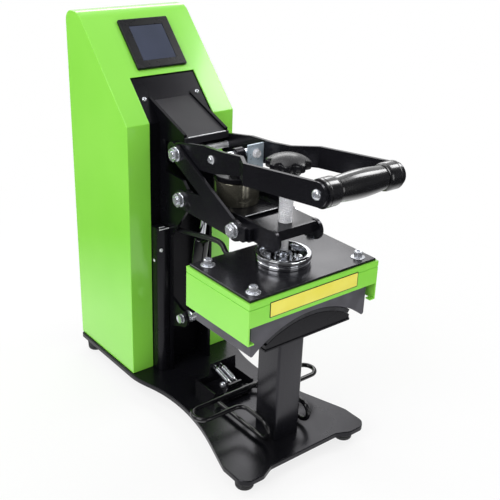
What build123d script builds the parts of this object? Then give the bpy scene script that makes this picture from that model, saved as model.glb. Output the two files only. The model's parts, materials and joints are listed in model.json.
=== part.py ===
from build123d import *
import math
import os

os.makedirs("parts", exist_ok=True)

# Desktop cap heat press, millimetres. +Z is up, the operator stands on -Y,
# the origin is on the table under the middle of the machine.

# ---- overall stations ----
case_rear_y = 229.0
case_front_y = 88.0
case_top_z = 482.0
case_half_w = 79.0
bend_z = 365.0
slope_top_y = 197.0
sheet_t = 2.0
seat_gap = 0.2

# ---- base ----
foot_h = 18.0
foot_r = 12.0
plate_t = 6.0
base_front_y = -176.0
base_half_front = 97.5
base_half_rear = 82.0
base_neck_half = 67.5
base_neck_y = -4.0
recess_depth = 8.0
base_front_round = 10.0
base_rear_round = 6.0
front_foot_x = 79.0
front_foot_y = -154.0
rear_foot_x = 66.0
rear_foot_y = 214.0
base_top = foot_h + plate_t

# ---- case ----
case_rear_round = 14.0
case_top_round = 20.0
channel_half = 47.0
channel_top_z = 411.0
panel_lap = 10.0
panel_t = 2.0
panel_top_lap = 9.0
panel_screw_rise = 23.0
panel_screw_x = 39.0
panel_screw_r = 3.2
panel_screw_h = 2.2
back_panel_t = 2.0
vent_z = case_top_z - 82.0
vent_pitch = 9.0
vent_w = 90.0
vent_h = 4.0
power_z = 66.0
inlet_x = -38.0
inlet_w = 28.0
inlet_h = 24.0
inlet_depth = 20.0
switch_x = 2.0
switch_w = 19.0
switch_h = 13.0
switch_depth = 16.0
rocker_pivot_in = 4.0

# ---- touch screen ----
screen_slope_mid = 107.0
screen_mid_x = 3.5
bezel_w = 72.0
bezel_h = 71.0
bezel_t = 4.0
display_w = 48.0
display_h = 49.0

# ---- frame ----
frame_in = 28.0
frame_t = 4.0
frame_out = frame_in + frame_t
frame_front_y = 66.0
ear_r = 12.0
ear_flare = 10.0
cover_t = 2.5
plate_rise = 2.5
cover_front_y = 37.0
cover_front_z = 358.0
lip_t = 2.0
lip_drop = 9.0
cover_top_y = 110.0
cover_top_z = 386.0
nose_r = 10.5
nose_start_z = 222.0
window_low_z = 304.0
window_top_z = 350.0
window_rear_y = 76.0
side_box_half = 46.5
side_box_front_y = 70.0
side_box_top_z = 232.0
side_box_wall = 2.0
side_box_round = 10.0

# ---- pivots (y, z) ----
arm_pivot_y = 31.0
arm_pivot_z = 285.0
handle_pivot_y = 40.0
handle_pivot_z = 339.0
head_bolt_y = -73.0
head_bolt_z = 282.0
link_anchor_y = 83.0
link_anchor_z = 342.0
crank_r = 16.0
link_eye_r = 6.5
link_slot_len = 4.8
link_slot_gap = 1.8
link_half_w = 9.0
pivot_shaft_r = 5.0
bore_gap = 0.05
pin_r = 4.0
washer_t = 1.4
bolt_head_t = 6.0
bolt_across = 15.0
bolt_washer_r = 9.0
shoulder_r = 8.5

# ---- plate layers outward from the middle ----
layer_gap = 1.0
plate_layer_t = 4.0
handle_in = frame_out + layer_gap
handle_out = handle_in + plate_layer_t
arm_in = handle_out + layer_gap
arm_out = arm_in + plate_layer_t
head_out = frame_out + 0.5
head_in = head_out - 4.0

# ---- press arm ----
arm_bar_half = 10.5
arm_eye_r = 12.0
arm_end_r = 13.0
arm_knee_y = -22.0
arm_knee_z = 304.0
cross_pin_y = 14.5
cross_pin_z = 281.0
cross_pin_r = 5.0
tie_front_y = -97.0
tie_rear_y = -64.0
tie_half_h = 8.0
head_top_z = 297.0
web_t = 4.0
web_rear_y = -90.0
cheek_r = 12.0
cheek_front_y = -127.0
cheek_axis_z = 286.0
spindle_y = -111.0
spindle_r = 8.0
stem_r = 5.0
stem_bottom_z = 254.0
nut_r = 14.0
nut_h = 8.0

# ---- electromagnet ----
magnet_y = -23.0
magnet_r = 27.0
magnet_plate_top_z = 293.0
magnet_plate_t = 3.5
magnet_plate_len = 72.0
magnet_plate_set = 11.0
magnet_top_z = 321.0
carrier_t = 4.0
carrier_front_y = -88.0
carrier_rear_y = -0.5
armature_t = 6.0
magnet_screw_x = 36.0
magnet_screw_y = 32.0
armature_gap = 0.3
armature_bracket_z = 360.0

# ---- handle ----
handle_hip_y = -7.0
handle_hip_z = 361.0
handle_crest_y = -44.0
handle_crest_z = 363.0
handle_belly_y = -26.0
handle_belly_z = 333.0
handle_bend_y = -75.0
handle_bend_top_z = 367.0
handle_bend_low_z = 345.0
handle_step_y = -103.0
handle_step_top_z = 370.5
handle_step_low_z = 346.0
armature_pin_y = -24.0
armature_pin_z = 349.0
armature_pin_r = 5.0
grip_y = -213.7
grip_z = 371.0
grip_arm_half = 55.0
grip_end_r = 12.5
grip_collar_r = 14.8
grip_collar_len = 18.5
grip_bulge_r = 14.6
grip_neck_r = 12.6
grip_rod_r = 4.0
grip_head_r = 5.6
grip_head_h = 3.4
knob_r = 24.5
knob_bottom_z = 351.0
knob_top_z = 374.0
knob_lobes = 8
knob_scallop_r = 6.0
knob_scallop_out = 1.8

# ---- heated platen ----
platen_half_x = 94.0
platen_rear_y = -57.0
platen_front_y = -169.0
platen_top_z = 249.0
platen_top_t = 3.0
platen_top_inset = 2.5
cover_side_bottom_z = 197.0
cover_face_bottom_z = 218.0
cover_wall = 1.5
label_mid_x = -2.3
label_mid_z = 231.8
label_w = 128.5
label_h = 18.2
cover_seam_z = 238.4
cover_seam_h = 0.8
platen_screw_side = 17.5
platen_screw_in = 16.2
ring_r = 32.0
ring_wall = 6.0
ring_h = 11.5
hub_r = 10.0
hub_h = 16.0
ring_floor = 3.0
flange_screw_r = 18.0
screw_r = 2.5
screw_head_r = 4.3
screw_washer_r = 8.3
screw_washer_t = 1.2
cap_head_r = 4.9
cap_head_h = 6.4
base_head_h = 4.0
block_margin_x = 9.0
insulation_lap = 3.0
block_margin_y = 7.0
block_bottom_z = 177.0
block_top_z = 218.0
insulation_gap = 0.3

# ---- lower saddle and post ----
saddle_r = 125.0
saddle_top_z = 206.0
saddle_half_x = 62.5
saddle_pad_t = 5.0
saddle_plate_t = 2.0
pad_gap = 0.3
saddle_mid_y = -116.5
saddle_half_y = 44.0
saddle_bottom_z = 176.0
saddle_to_block = 1.0
block_tip_r = 2.5
post_y = -116.0
post_half = 19.0
post_wall = 3.0
post_round = 3.0
post_end_t = 6.0
post_bolt_x = 18.0

# ---- gas spring ----
gas_x = -16.0
gas_low_y = 42.0
gas_low_z = 115.0
gas_body_r = 9.5
gas_rod_r = 4.0
gas_body_len = 104.0
gas_fitting = 16.0
gas_eye_half = 5.0
gas_nut_h = 4.5
gas_nut_across = 6.2

# ---- heater lead ----
lead_r = 3.2
gland_x = -30.0
gland_z = 240.0
gland_r = 5.5
gland_h = 5.0
gland_shank_r = 3.5
panel_gland_x = -20.0
panel_gland_z = 228.0

# ---- cap hold-down ----
wire_r = 3.0
leg_x = 32.0
leg_z = base_top + 7.0
leg_rear_y = -36.0
leg_bend_r = 7.0
lug_half = 15.0
lug_set = 4.0
lug_h = 14.0
lug_hole_rise = 10.5
hairpin_y = -125.0
hairpin_r = 12.0
bail_turn_y = -88.0
bail_turn_r = 12.0
bail_loop_r = 13.0
bail_loop_x = 81.0
bracket_half_x = 32.0
bracket_t = 3.0
bracket_wall = 2.5
bracket_wall_z = 38.0
bracket_rear_y = 10.0
bracket_front_y = -27.0
bracket_wall_front_y = -31.0
bracket_bolt_ys = (-7.0, -22.0)
hook_tab_x = -9.0
hook_tab_z = 55.0
hook_hole_drop = 4.0
spring_x = 4.6
spring_r = 3.6
spring_wire_r = 0.9
spring_hole_r = 1.5
hook_gap = 0.5

slope_angle = math.degrees(math.atan2(slope_top_y - case_front_y, case_top_z - bend_z))
slope_run = (slope_top_y - case_front_y) / (case_top_z - bend_z)
half_turn = math.tan(math.radians(slope_angle / 2))
mid_y = (platen_rear_y + platen_front_y) / 2
block_half_x = platen_half_x - block_margin_x
platen_screw_x = platen_half_x - platen_screw_side


def slope_y(z, depth=0.0):
    """Y on the front outline of the case at height z, set back by depth."""
    knee_z = bend_z - depth * half_turn
    if z <= knee_z:
        return case_front_y + depth
    return case_front_y + depth + (z - knee_z) * slope_run


def save(piece, name):
    piece.label = name
    export_step(piece, "parts/" + name + ".step")


# =====================================================================
# base plate and feet
# =====================================================================
base_rear_y = case_rear_y - 1.0
with BuildPart() as base_plate:
    with BuildSketch(Plane.XY.offset(foot_h)):
        with BuildLine():
            flank = Spline(
                (base_half_rear, 92),
                (base_neck_half + 5, 44),
                (base_neck_half, base_neck_y),
                (base_neck_half + 9, -70),
                (base_half_front - 8, -112),
                (base_half_front, -138),
                tangents=[(0, -1), (0.25, -1)],
            )
            Polyline(
                (base_half_front, -138),
                (base_half_front, base_front_y + 9),
                (base_half_front - 9, base_front_y),
                (base_half_front - 29, base_front_y),
                (base_half_front - 46, base_front_y + recess_depth),
                (0, base_front_y + recess_depth),
            )
            Polyline((base_half_rear, 92), (base_half_rear, base_rear_y), (0, base_rear_y))
            mirror(about=Plane.YZ)
        make_face()
    extrude(amount=plate_t)
    upright = base_plate.edges().filter_by(Axis.Z)
    front_corners = upright.filter_by_position(Axis.Y, base_front_y - 1, base_front_y + recess_depth + 2)
    rear_corners = upright.filter_by_position(Axis.Y, base_rear_y - 1, base_rear_y + 1)
    fillet(front_corners, radius=base_front_round)
    fillet(rear_corners, radius=base_rear_round)
    chamfer(base_plate.faces().sort_by(Axis.Z)[-1].outer_wire().edges(), length=0.8)
    with Locations((0, post_y, base_top)):
        with GridLocations(post_bolt_x, post_bolt_x, 2, 2):
            Hole(radius=screw_r + 0.1, depth=plate_t)
    for bolt_y in bracket_bolt_ys:
        with Locations((0, bolt_y, base_top)):
            Hole(radius=screw_r + 0.1, depth=plate_t)
save(base_plate.part, "base_plate")

with BuildPart() as base_feet:
    for foot_x, foot_y in (
        (front_foot_x, front_foot_y),
        (-front_foot_x, front_foot_y),
        (rear_foot_x, rear_foot_y),
        (-rear_foot_x, rear_foot_y),
    ):
        with BuildSketch(Plane.XZ.offset(-foot_y)):
            with BuildLine():
                Polyline(
                    (foot_x, 0),
                    (foot_x + foot_r - 2.5, 0),
                    (foot_x + foot_r - 1.0, 1.5),
                    (foot_x + foot_r, foot_h - 3),
                    (foot_x + foot_r - 1.0, foot_h),
                    (foot_x, foot_h),
                    close=True,
                )
            make_face()
        revolve(axis=Axis((foot_x, foot_y, 0), (0, 0, 1)), revolution_arc=360)
save(base_feet.part, "base_feet")

# =====================================================================
# case: folded sheet shell, open at the back and underneath
# =====================================================================
back_top = case_top_z - case_rear_round - 1.0
with BuildPart() as case_shell:
    with BuildSketch(Plane.YZ.offset(-case_half_w)) as case_side:
        with BuildLine():
            Polyline(
                (case_rear_y, base_top),
                (case_rear_y, case_top_z),
                (slope_top_y, case_top_z),
                (case_front_y, bend_z),
                (case_front_y, base_top),
                close=True,
            )
        make_face()
        fillet(case_side.vertices().group_by(Axis.X)[-1].sort_by(Axis.Y)[-1], radius=case_rear_round)
        slope_top = case_side.vertices().filter_by_position(Axis.X, slope_top_y - 1, slope_top_y + 1)
        fillet(slope_top, radius=case_top_round)
    extrude(amount=2 * case_half_w)
    with BuildSketch(Plane.YZ.offset(-case_half_w + sheet_t)):
        add(case_side.sketch_local)
        offset(amount=-sheet_t)
    extrude(amount=2 * (case_half_w - sheet_t), mode=Mode.SUBTRACT)
    with BuildSketch(Plane.YZ.offset(-case_half_w + sheet_t)):
        with Locations((case_rear_y, (base_top + back_top) / 2)):
            Rectangle(6 * sheet_t, back_top - base_top)
        with Locations(((case_front_y + case_rear_y) / 2 + sheet_t, base_top)):
            Rectangle(case_rear_y - case_front_y, 3 * sheet_t)
    extrude(amount=2 * (case_half_w - sheet_t), mode=Mode.SUBTRACT)
    with BuildSketch(Plane.XY.offset(base_top)):
        with Locations((0, case_front_y + 60)):
            Rectangle(2 * channel_half, 140)
    extrude(amount=channel_top_z - base_top, mode=Mode.SUBTRACT)
save(case_shell.part, "case_shell")

with BuildPart() as back_panel:
    with BuildSketch(Plane.XZ.offset(-(case_rear_y - back_panel_t))) as back_sketch:
        with Locations((0, (base_top + back_top) / 2)):
            RectangleRounded(2 * (case_half_w - sheet_t - seat_gap), back_top - base_top, 3)
        with Locations((inlet_x, power_z)):
            Rectangle(inlet_w + 2 * seat_gap, inlet_h + 2 * seat_gap, mode=Mode.SUBTRACT)
        with Locations((switch_x, power_z)):
            Rectangle(switch_w + 2 * seat_gap, switch_h + 2 * seat_gap, mode=Mode.SUBTRACT)
        with Locations((0, vent_z)):
            with GridLocations(0, vent_pitch, 1, 6):
                SlotOverall(vent_w, vent_h, mode=Mode.SUBTRACT)
    extrude(amount=-back_panel_t)
save(back_panel.part, "back_panel")

with BuildPart() as power_inlet:
    with BuildSketch(Plane.XZ.offset(-(case_rear_y - inlet_depth))):
        with Locations((inlet_x, power_z)):
            Rectangle(inlet_w, inlet_h)
    extrude(amount=-inlet_depth)
    with BuildSketch(Plane.XZ.offset(-case_rear_y)):
        with Locations((inlet_x, power_z)):
            Rectangle(inlet_w - 5, inlet_h - 7)
    extrude(amount=inlet_depth - 4, mode=Mode.SUBTRACT)
    with BuildSketch(Plane.XZ.offset(-(case_rear_y - inlet_depth + 2))):
        with Locations((inlet_x, power_z - 2)):
            Rectangle(1.8, 4)
        with Locations((inlet_x - 7, power_z + 2), (inlet_x + 7, power_z + 2)):
            Rectangle(1.8, 4)
    extrude(amount=-(inlet_depth - 5))
save(power_inlet.part, "power_inlet")

with BuildPart() as switch_housing:
    with BuildSketch(Plane.XZ.offset(-(case_rear_y - switch_depth))):
        with Locations((switch_x, power_z)):
            Rectangle(switch_w, switch_h)
    extrude(amount=-switch_depth)
    with BuildSketch(Plane.XZ.offset(-case_rear_y)):
        with Locations((switch_x, power_z)):
            Rectangle(switch_w - 2.4, switch_h - 2.4)
    extrude(amount=switch_depth - 6, mode=Mode.SUBTRACT)
save(switch_housing.part, "switch_housing")

rocker_half_w = (switch_w - 2.4) / 2 - 0.7
rocker_half_h = (switch_h - 2.4) / 2 - 0.3
rocker_tilt = math.radians(8)
rocker_plane = Plane(
    origin=(switch_x, case_rear_y - rocker_pivot_in, power_z - rocker_half_h),
    x_dir=(math.cos(rocker_tilt), math.sin(rocker_tilt), 0),
    z_dir=(0, 0, 1),
)
with BuildPart() as switch_rocker:
    with BuildSketch(rocker_plane):
        with BuildLine():
            Polyline(
                (-rocker_half_w, -3.5),
                (-rocker_half_w, 2.6),
                (0, 0.9),
                (rocker_half_w, 2.6),
                (rocker_half_w, -3.5),
                close=True,
            )
        make_face()
    extrude(amount=2 * rocker_half_h)
save(switch_rocker.part, "switch_rocker")

# ---- touch screen on the slope ----
slope_dir_y = math.sin(math.radians(slope_angle))
slope_dir_z = math.cos(math.radians(slope_angle))
screen_plane = Plane(
    origin=(
        screen_mid_x,
        case_front_y + slope_dir_y * screen_slope_mid,
        bend_z + slope_dir_z * screen_slope_mid,
    ),
    x_dir=(1, 0, 0),
    z_dir=(0, -slope_dir_z, slope_dir_y),
)
with BuildPart() as screen_bezel:
    with BuildSketch(screen_plane):
        RectangleRounded(bezel_w, bezel_h, 2)
    extrude(amount=bezel_t)
    with BuildSketch(screen_plane.offset(bezel_t - 1.2)):
        Rectangle(display_w + 0.4, display_h + 0.4)
    extrude(amount=2, mode=Mode.SUBTRACT)
    bezel_face = screen_bezel.faces().sort_by(Axis((0, 0, 0), screen_plane.z_dir))[-1]
    chamfer(bezel_face.outer_wire().edges(), length=0.8)
save(screen_bezel.part, "screen_bezel")
with BuildPart() as screen_glass:
    with BuildSketch(screen_plane.offset(bezel_t - 1.2)):
        Rectangle(display_w, display_h)
    extrude(amount=0.8)
save(screen_glass.part, "screen_glass")

# =====================================================================
# channel panel behind the opening
# =====================================================================
panel_out = sheet_t + seat_gap
panel_in = panel_out + panel_t
panel_top_z = channel_top_z + panel_top_lap
with BuildPart() as channel_panel:
    with BuildSketch(Plane.YZ.offset(-channel_half - panel_lap)):
        with BuildLine():
            Polyline(
                (slope_y(base_top, panel_out), base_top),
                (slope_y(base_top, panel_out), bend_z - panel_out * half_turn),
                (slope_y(panel_top_z, panel_out), panel_top_z),
                (slope_y(panel_top_z, panel_in), panel_top_z),
                (slope_y(base_top, panel_in), bend_z - panel_in * half_turn),
                (slope_y(base_top, panel_in), base_top),
                close=True,
            )
        make_face()
    extrude(amount=2 * (channel_half + panel_lap))
save(channel_panel.part, "channel_panel")

panel_normal = (0, -slope_dir_z, slope_dir_y)
screw_z = bend_z + panel_screw_rise
screw_plane = Plane(
    origin=(0, slope_y(screw_z, panel_out), screw_z), x_dir=(1, 0, 0), z_dir=panel_normal
)
with BuildPart() as panel_screws:
    with BuildSketch(screw_plane):
        with GridLocations(2 * panel_screw_x, 0, 2, 1):
            Circle(panel_screw_r)
    extrude(amount=panel_screw_h)
    screw_rims = panel_screws.edges().filter_by(GeomType.CIRCLE).group_by(Axis((0, 0, 0), panel_normal))
    fillet(screw_rims[-1], radius=1.2)
save(panel_screws.part, "panel_screws")

# =====================================================================
# frame
# =====================================================================
cover_run = (cover_top_z - cover_front_z) / (cover_top_y - cover_front_y)


def cover_z(y, drop=0.0):
    """Height of the sloped cover's upper face at y, less a drop."""
    return cover_front_z + (y - cover_front_y) * cover_run - drop


def meet_y(drop, depth):
    """Y where the cover's upper face, less a drop, meets the case outline set back by depth."""
    knee_z = bend_z - depth * half_turn
    start_z = cover_front_z - drop - cover_front_y * cover_run
    return (case_front_y + depth + (start_z - knee_z) * slope_run) / (1 - cover_run * slope_run)


plate_rear_y = case_front_y + panel_out - seat_gap
plate_set = panel_out - seat_gap
for side, first_x in (("left", -frame_out), ("right", frame_in)):
    with BuildPart() as frame_plate:
        with BuildSketch(Plane.YZ.offset(first_x)) as plate_sketch:
            with BuildLine():
                Polyline(
                    (frame_front_y, base_top),
                    (frame_front_y, nose_start_z),
                    (arm_pivot_y - nose_r * 0.93, arm_pivot_z - nose_r * 0.37),
                    (arm_pivot_y, arm_pivot_z + nose_r),
                    (handle_pivot_y, window_low_z),
                    (window_rear_y, window_low_z + 2),
                    (window_rear_y, window_top_z - 5),
                    (cover_front_y + 1, window_top_z),
                    (cover_front_y + 1, cover_z(cover_front_y + 1, -plate_rise)),
                    (meet_y(-plate_rise, plate_set), cover_z(meet_y(-plate_rise, plate_set), -plate_rise)),
                    (plate_rear_y, bend_z - plate_set * half_turn),
                    (plate_rear_y, base_top),
                    close=True,
                )
            make_face()
            with Locations((arm_pivot_y, arm_pivot_z)):
                Circle(nose_r)
                Circle(pivot_shaft_r + bore_gap, mode=Mode.SUBTRACT)
            with Locations((link_anchor_y, link_anchor_z)):
                Circle(pin_r + bore_gap, mode=Mode.SUBTRACT)
            if side == "left":
                with BuildLine():
                    Polyline(
                        (gas_low_y, gas_low_z - ear_r),
                        (gas_low_y, gas_low_z + ear_r),
                        (frame_front_y + 1, gas_low_z + ear_r + ear_flare),
                        (frame_front_y + 1, gas_low_z - ear_r - ear_flare),
                        close=True,
                    )
                make_face()
                with Locations((gas_low_y, gas_low_z)):
                    Circle(ear_r)
                    Circle(pin_r + bore_gap, mode=Mode.SUBTRACT)
        extrude(amount=frame_t)
    save(frame_plate.part, "frame_plate_" + side)

with BuildPart() as frame_cover:
    with BuildSketch(Plane.YZ.offset(-frame_in)):
        with BuildLine():
            Polyline(
                (cover_front_y, cover_z(cover_front_y)),
                (meet_y(0, plate_set), cover_z(meet_y(0, plate_set))),
                (meet_y(cover_t, plate_set), cover_z(meet_y(cover_t, plate_set), cover_t)),
                (cover_front_y, cover_z(cover_front_y, cover_t)),
                close=True,
            )
        make_face()
    extrude(amount=2 * frame_in)
    with BuildSketch(Plane.YZ.offset(-frame_out)):
        with BuildLine():
            Polyline(
                (cover_front_y - lip_t, cover_front_z - lip_drop),
                (cover_front_y - lip_t, cover_z(cover_front_y - lip_t)),
                (cover_front_y, cover_z(cover_front_y)),
                (cover_front_y, cover_front_z - lip_drop),
                close=True,
            )
        make_face()
    extrude(amount=2 * frame_out)
save(frame_cover.part, "frame_cover")

box_in = frame_out + seat_gap
box_mid = (-(box_in + side_box_half) / 2, (side_box_front_y + plate_rear_y) / 2)
box_w = side_box_half - box_in
box_d = plate_rear_y - side_box_front_y
with BuildPart() as side_box:
    with BuildSketch(Plane.XY.offset(base_top)) as box_outline:
        with Locations(box_mid):
            Rectangle(box_w, box_d)
        fillet(box_outline.vertices().group_by(Axis.Y)[0].sort_by(Axis.X)[0], radius=side_box_round)
    extrude(amount=side_box_top_z - base_top)
    with BuildSketch(Plane.XY.offset(base_top)) as box_room:
        with Locations(box_mid):
            Rectangle(box_w - 2 * side_box_wall, box_d - 2 * side_box_wall)
        inner_corner = box_room.vertices().group_by(Axis.Y)[0].sort_by(Axis.X)[0]
        fillet(inner_corner, radius=side_box_round - side_box_wall)
    extrude(amount=side_box_top_z - base_top - side_box_wall, mode=Mode.SUBTRACT)
save(side_box.part, "side_box")


def hex_bolt(start_x, end_x, head_h, across, shaft_r, y, z, sign, washer_r, collar_r=0.0):
    """Bolt along X: shank from start_x to end_x, then washer and hexagon head."""
    base = Plane.YZ.offset(sign * start_x)
    with BuildPart() as bolt:
        with BuildSketch(base):
            with Locations((y, z)):
                Circle(shaft_r)
        extrude(amount=sign * (end_x - start_x))
        if collar_r:
            with BuildSketch(Plane.YZ.offset(sign * (frame_out + seat_gap / 2))):
                with Locations((y, z)):
                    Circle(collar_r)
            extrude(amount=sign * (arm_in - frame_out - seat_gap))
        with BuildSketch(Plane.YZ.offset(sign * end_x)):
            with Locations((y, z)):
                Circle(washer_r)
        extrude(amount=sign * washer_t)
        head_x = end_x + washer_t
        with BuildSketch(Plane.YZ.offset(sign * head_x)):
            with Locations((y, z)):
                RegularPolygon(across / 2 / math.cos(math.pi / 6), 6, rotation=15)
                Circle(across / 2 + 0.9, mode=Mode.INTERSECT)
        extrude(amount=sign * head_h)
    return bolt.part


arm_pivot_bolts = []
for s in (-1, 1):
    arm_pivot_bolts.append(
        hex_bolt(
            frame_in - 1.0,
            arm_out + 0.1,
            bolt_head_t,
            bolt_across,
            pivot_shaft_r,
            arm_pivot_y,
            arm_pivot_z,
            s,
            bolt_washer_r,
            shoulder_r,
        )
    )
save(Compound(children=arm_pivot_bolts), "arm_pivot_bolts")

with BuildPart() as frame_pins:
    with BuildSketch(Plane.YZ.offset(-frame_out)):
        with Locations((link_anchor_y, link_anchor_z)):
            Circle(pin_r)
    extrude(amount=2 * frame_out)
    gas_pin_end = gas_x + gas_eye_half + seat_gap
    for start_x, length, across in (
        (-frame_out, frame_out + gas_pin_end + gas_nut_h, 0),
        (-frame_out, -gas_nut_h, gas_nut_across),
        (-frame_in, gas_x - gas_eye_half - seat_gap + frame_in, pin_r + 2.0),
        (gas_pin_end, gas_nut_h, gas_nut_across),
    ):
        with BuildSketch(Plane.YZ.offset(start_x)):
            with Locations((gas_low_y, gas_low_z)):
                if across == gas_nut_across:
                    RegularPolygon(across, 6, rotation=10)
                else:
                    Circle(across if across else pin_r)
        extrude(amount=length)
save(frame_pins.part, "frame_pins")

# =====================================================================
# post, saddle and pad
# =====================================================================
post_top_z = saddle_bottom_z
with BuildPart() as post:
    with BuildSketch(Plane.XY.offset(base_top)):
        with Locations((0, post_y)):
            RectangleRounded(2 * post_half, 2 * post_half, post_round)
    extrude(amount=post_top_z - base_top)
    with BuildSketch(Plane.XY.offset(base_top + post_end_t)):
        with Locations((0, post_y)):
            RectangleRounded(2 * (post_half - post_wall), 2 * (post_half - post_wall), 1)
    extrude(amount=post_top_z - base_top - 2 * post_end_t, mode=Mode.SUBTRACT)
    with BuildSketch(Plane.XY.offset(base_top)):
        with Locations((0, post_y)):
            with GridLocations(post_bolt_x, post_bolt_x, 2, 2):
                Circle(screw_r + 0.1)
    extrude(amount=post_end_t, mode=Mode.SUBTRACT)
save(post.part, "saddle_post")

saddle_axis_z = saddle_top_z - saddle_r
saddle_in_r = saddle_r - saddle_pad_t - pad_gap
saddle_low_z = saddle_bottom_z + saddle_plate_t
with BuildPart() as saddle:
    with BuildSketch(Plane.XZ.offset(-(saddle_mid_y + saddle_half_y))):
        with Locations((0, saddle_axis_z)):
            Circle(saddle_in_r)
        with Locations((0, saddle_low_z + saddle_r / 2)):
            Rectangle(2 * saddle_half_x, saddle_r, mode=Mode.INTERSECT)
    extrude(amount=2 * saddle_half_y)
    with BuildSketch(Plane.XY.offset(saddle_bottom_z)):
        with Locations((0, saddle_mid_y)):
            RectangleRounded(2 * saddle_half_x + 2, 2 * saddle_half_y + 2, 1.5)
    extrude(amount=saddle_plate_t)
save(saddle.part, "saddle")

with BuildPart() as saddle_pad:
    with BuildSketch(Plane.XZ.offset(-(saddle_mid_y + saddle_half_y))):
        with Locations((0, saddle_axis_z)):
            Circle(saddle_r)
            Circle(saddle_r - saddle_pad_t, mode=Mode.SUBTRACT)
        with Locations((0, saddle_low_z + seat_gap + saddle_r / 2)):
            Rectangle(2 * saddle_half_x + 1, saddle_r, mode=Mode.INTERSECT)
    extrude(amount=2 * saddle_half_y)
save(saddle_pad.part, "saddle_pad")

# =====================================================================
# heated platen
# =====================================================================
platen_w = 2 * platen_half_x
platen_d = platen_rear_y - platen_front_y
top_plate_low_z = platen_top_z - platen_top_t
screw_span_y = platen_d - 2 * platen_screw_in
with BuildPart() as platen_top:
    with BuildSketch(Plane.XY.offset(top_plate_low_z)):
        with Locations((0, mid_y)):
            Rectangle(platen_w - 2 * platen_top_inset, platen_d - 2 * platen_top_inset)
            with GridLocations(2 * platen_screw_x, screw_span_y, 2, 2):
                Circle(2.6, mode=Mode.SUBTRACT)
    extrude(amount=platen_top_t)
    chamfer(platen_top.faces().sort_by(Axis.Z)[-1].outer_wire().edges(), length=0.6)
save(platen_top.part, "platen_top_plate")

with BuildPart() as platen_cover:
    with BuildSketch(Plane.XY.offset(cover_side_bottom_z)):
        with Locations((0, mid_y)):
            Rectangle(platen_w, platen_d)
            Rectangle(platen_w - 2 * cover_wall, platen_d - 2 * cover_wall, mode=Mode.SUBTRACT)
    extrude(amount=top_plate_low_z - cover_side_bottom_z - 1.2)
    with BuildSketch(Plane.XY.offset(top_plate_low_z - 1.2)):
        with Locations((0, mid_y)):
            Rectangle(platen_w, platen_d)
            Rectangle(platen_w - 16, platen_d - 16, mode=Mode.SUBTRACT)
    extrude(amount=1.2)
    with BuildSketch(Plane.XY.offset(cover_side_bottom_z - 1)):
        with Locations((0, platen_front_y + cover_wall / 2)):
            Rectangle(platen_w - 2 * cover_wall, cover_wall + 2)
        with Locations((0, platen_rear_y - cover_wall / 2)):
            Rectangle(platen_w - 2 * cover_wall, cover_wall + 2)
    extrude(amount=cover_face_bottom_z - cover_side_bottom_z + 1, mode=Mode.SUBTRACT)
    for s in (-1, 1):
        with BuildSketch(Plane.XY.offset(cover_side_bottom_z)):
            with Locations((s * (platen_half_x - 4), platen_front_y + 3.5)):
                Rectangle(8, 7)
        extrude(amount=cover_wall)
    with BuildSketch(Plane.XY.offset(cover_seam_z)):
        with Locations((0, mid_y)):
            Rectangle(platen_w, platen_d)
            Rectangle(platen_w - cover_wall, platen_d - cover_wall, mode=Mode.SUBTRACT)
    extrude(amount=cover_seam_h, mode=Mode.SUBTRACT)
    with BuildSketch(Plane.XY.offset(top_plate_low_z - 2)):
        with Locations((0, mid_y)):
            with GridLocations(2 * platen_screw_x, screw_span_y, 2, 2):
                Circle(2.6)
    extrude(amount=3, mode=Mode.SUBTRACT)
    with BuildSketch(Plane.XZ.offset(-platen_rear_y - 3)):
        with Locations((gland_x, gland_z)):
            Circle(gland_shank_r + bore_gap)
    extrude(amount=6, mode=Mode.SUBTRACT)
save(platen_cover.part, "platen_cover")

with BuildPart() as platen_label:
    with BuildSketch(Plane.XZ.offset(-platen_front_y)):
        with Locations((label_mid_x, label_mid_z)):
            RectangleRounded(label_w, label_h, 0.8)
    extrude(amount=0.5)
save(platen_label.part, "platen_label")

with BuildPart() as heat_block:
    with BuildSketch(Plane.XZ.offset(-(platen_rear_y - block_margin_y))):
        with Locations((0, (block_bottom_z + block_top_z) / 2)):
            Rectangle(2 * block_half_x, block_top_z - block_bottom_z)
        with Locations((0, saddle_axis_z)):
            Circle(saddle_r + saddle_to_block, mode=Mode.SUBTRACT)
    extrude(amount=platen_d - 2 * block_margin_y)
    tip_edges = heat_block.edges().filter_by(Axis.Y).group_by(Axis.Z)[0].sort_by(Axis.X)
    fillet([tip_edges[0], tip_edges[-1]], radius=block_tip_r)
save(heat_block.part, "heat_block")

insulation_top_z = top_plate_low_z - 1.2 - insulation_gap
with BuildPart() as insulation:
    with BuildSketch(Plane.XY.offset(block_top_z)):
        with Locations((0, mid_y)):
            Rectangle(2 * (block_half_x + insulation_lap), platen_d - 2 * cover_wall - 2)
    extrude(amount=insulation_top_z - block_top_z)
save(insulation.part, "insulation")


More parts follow.
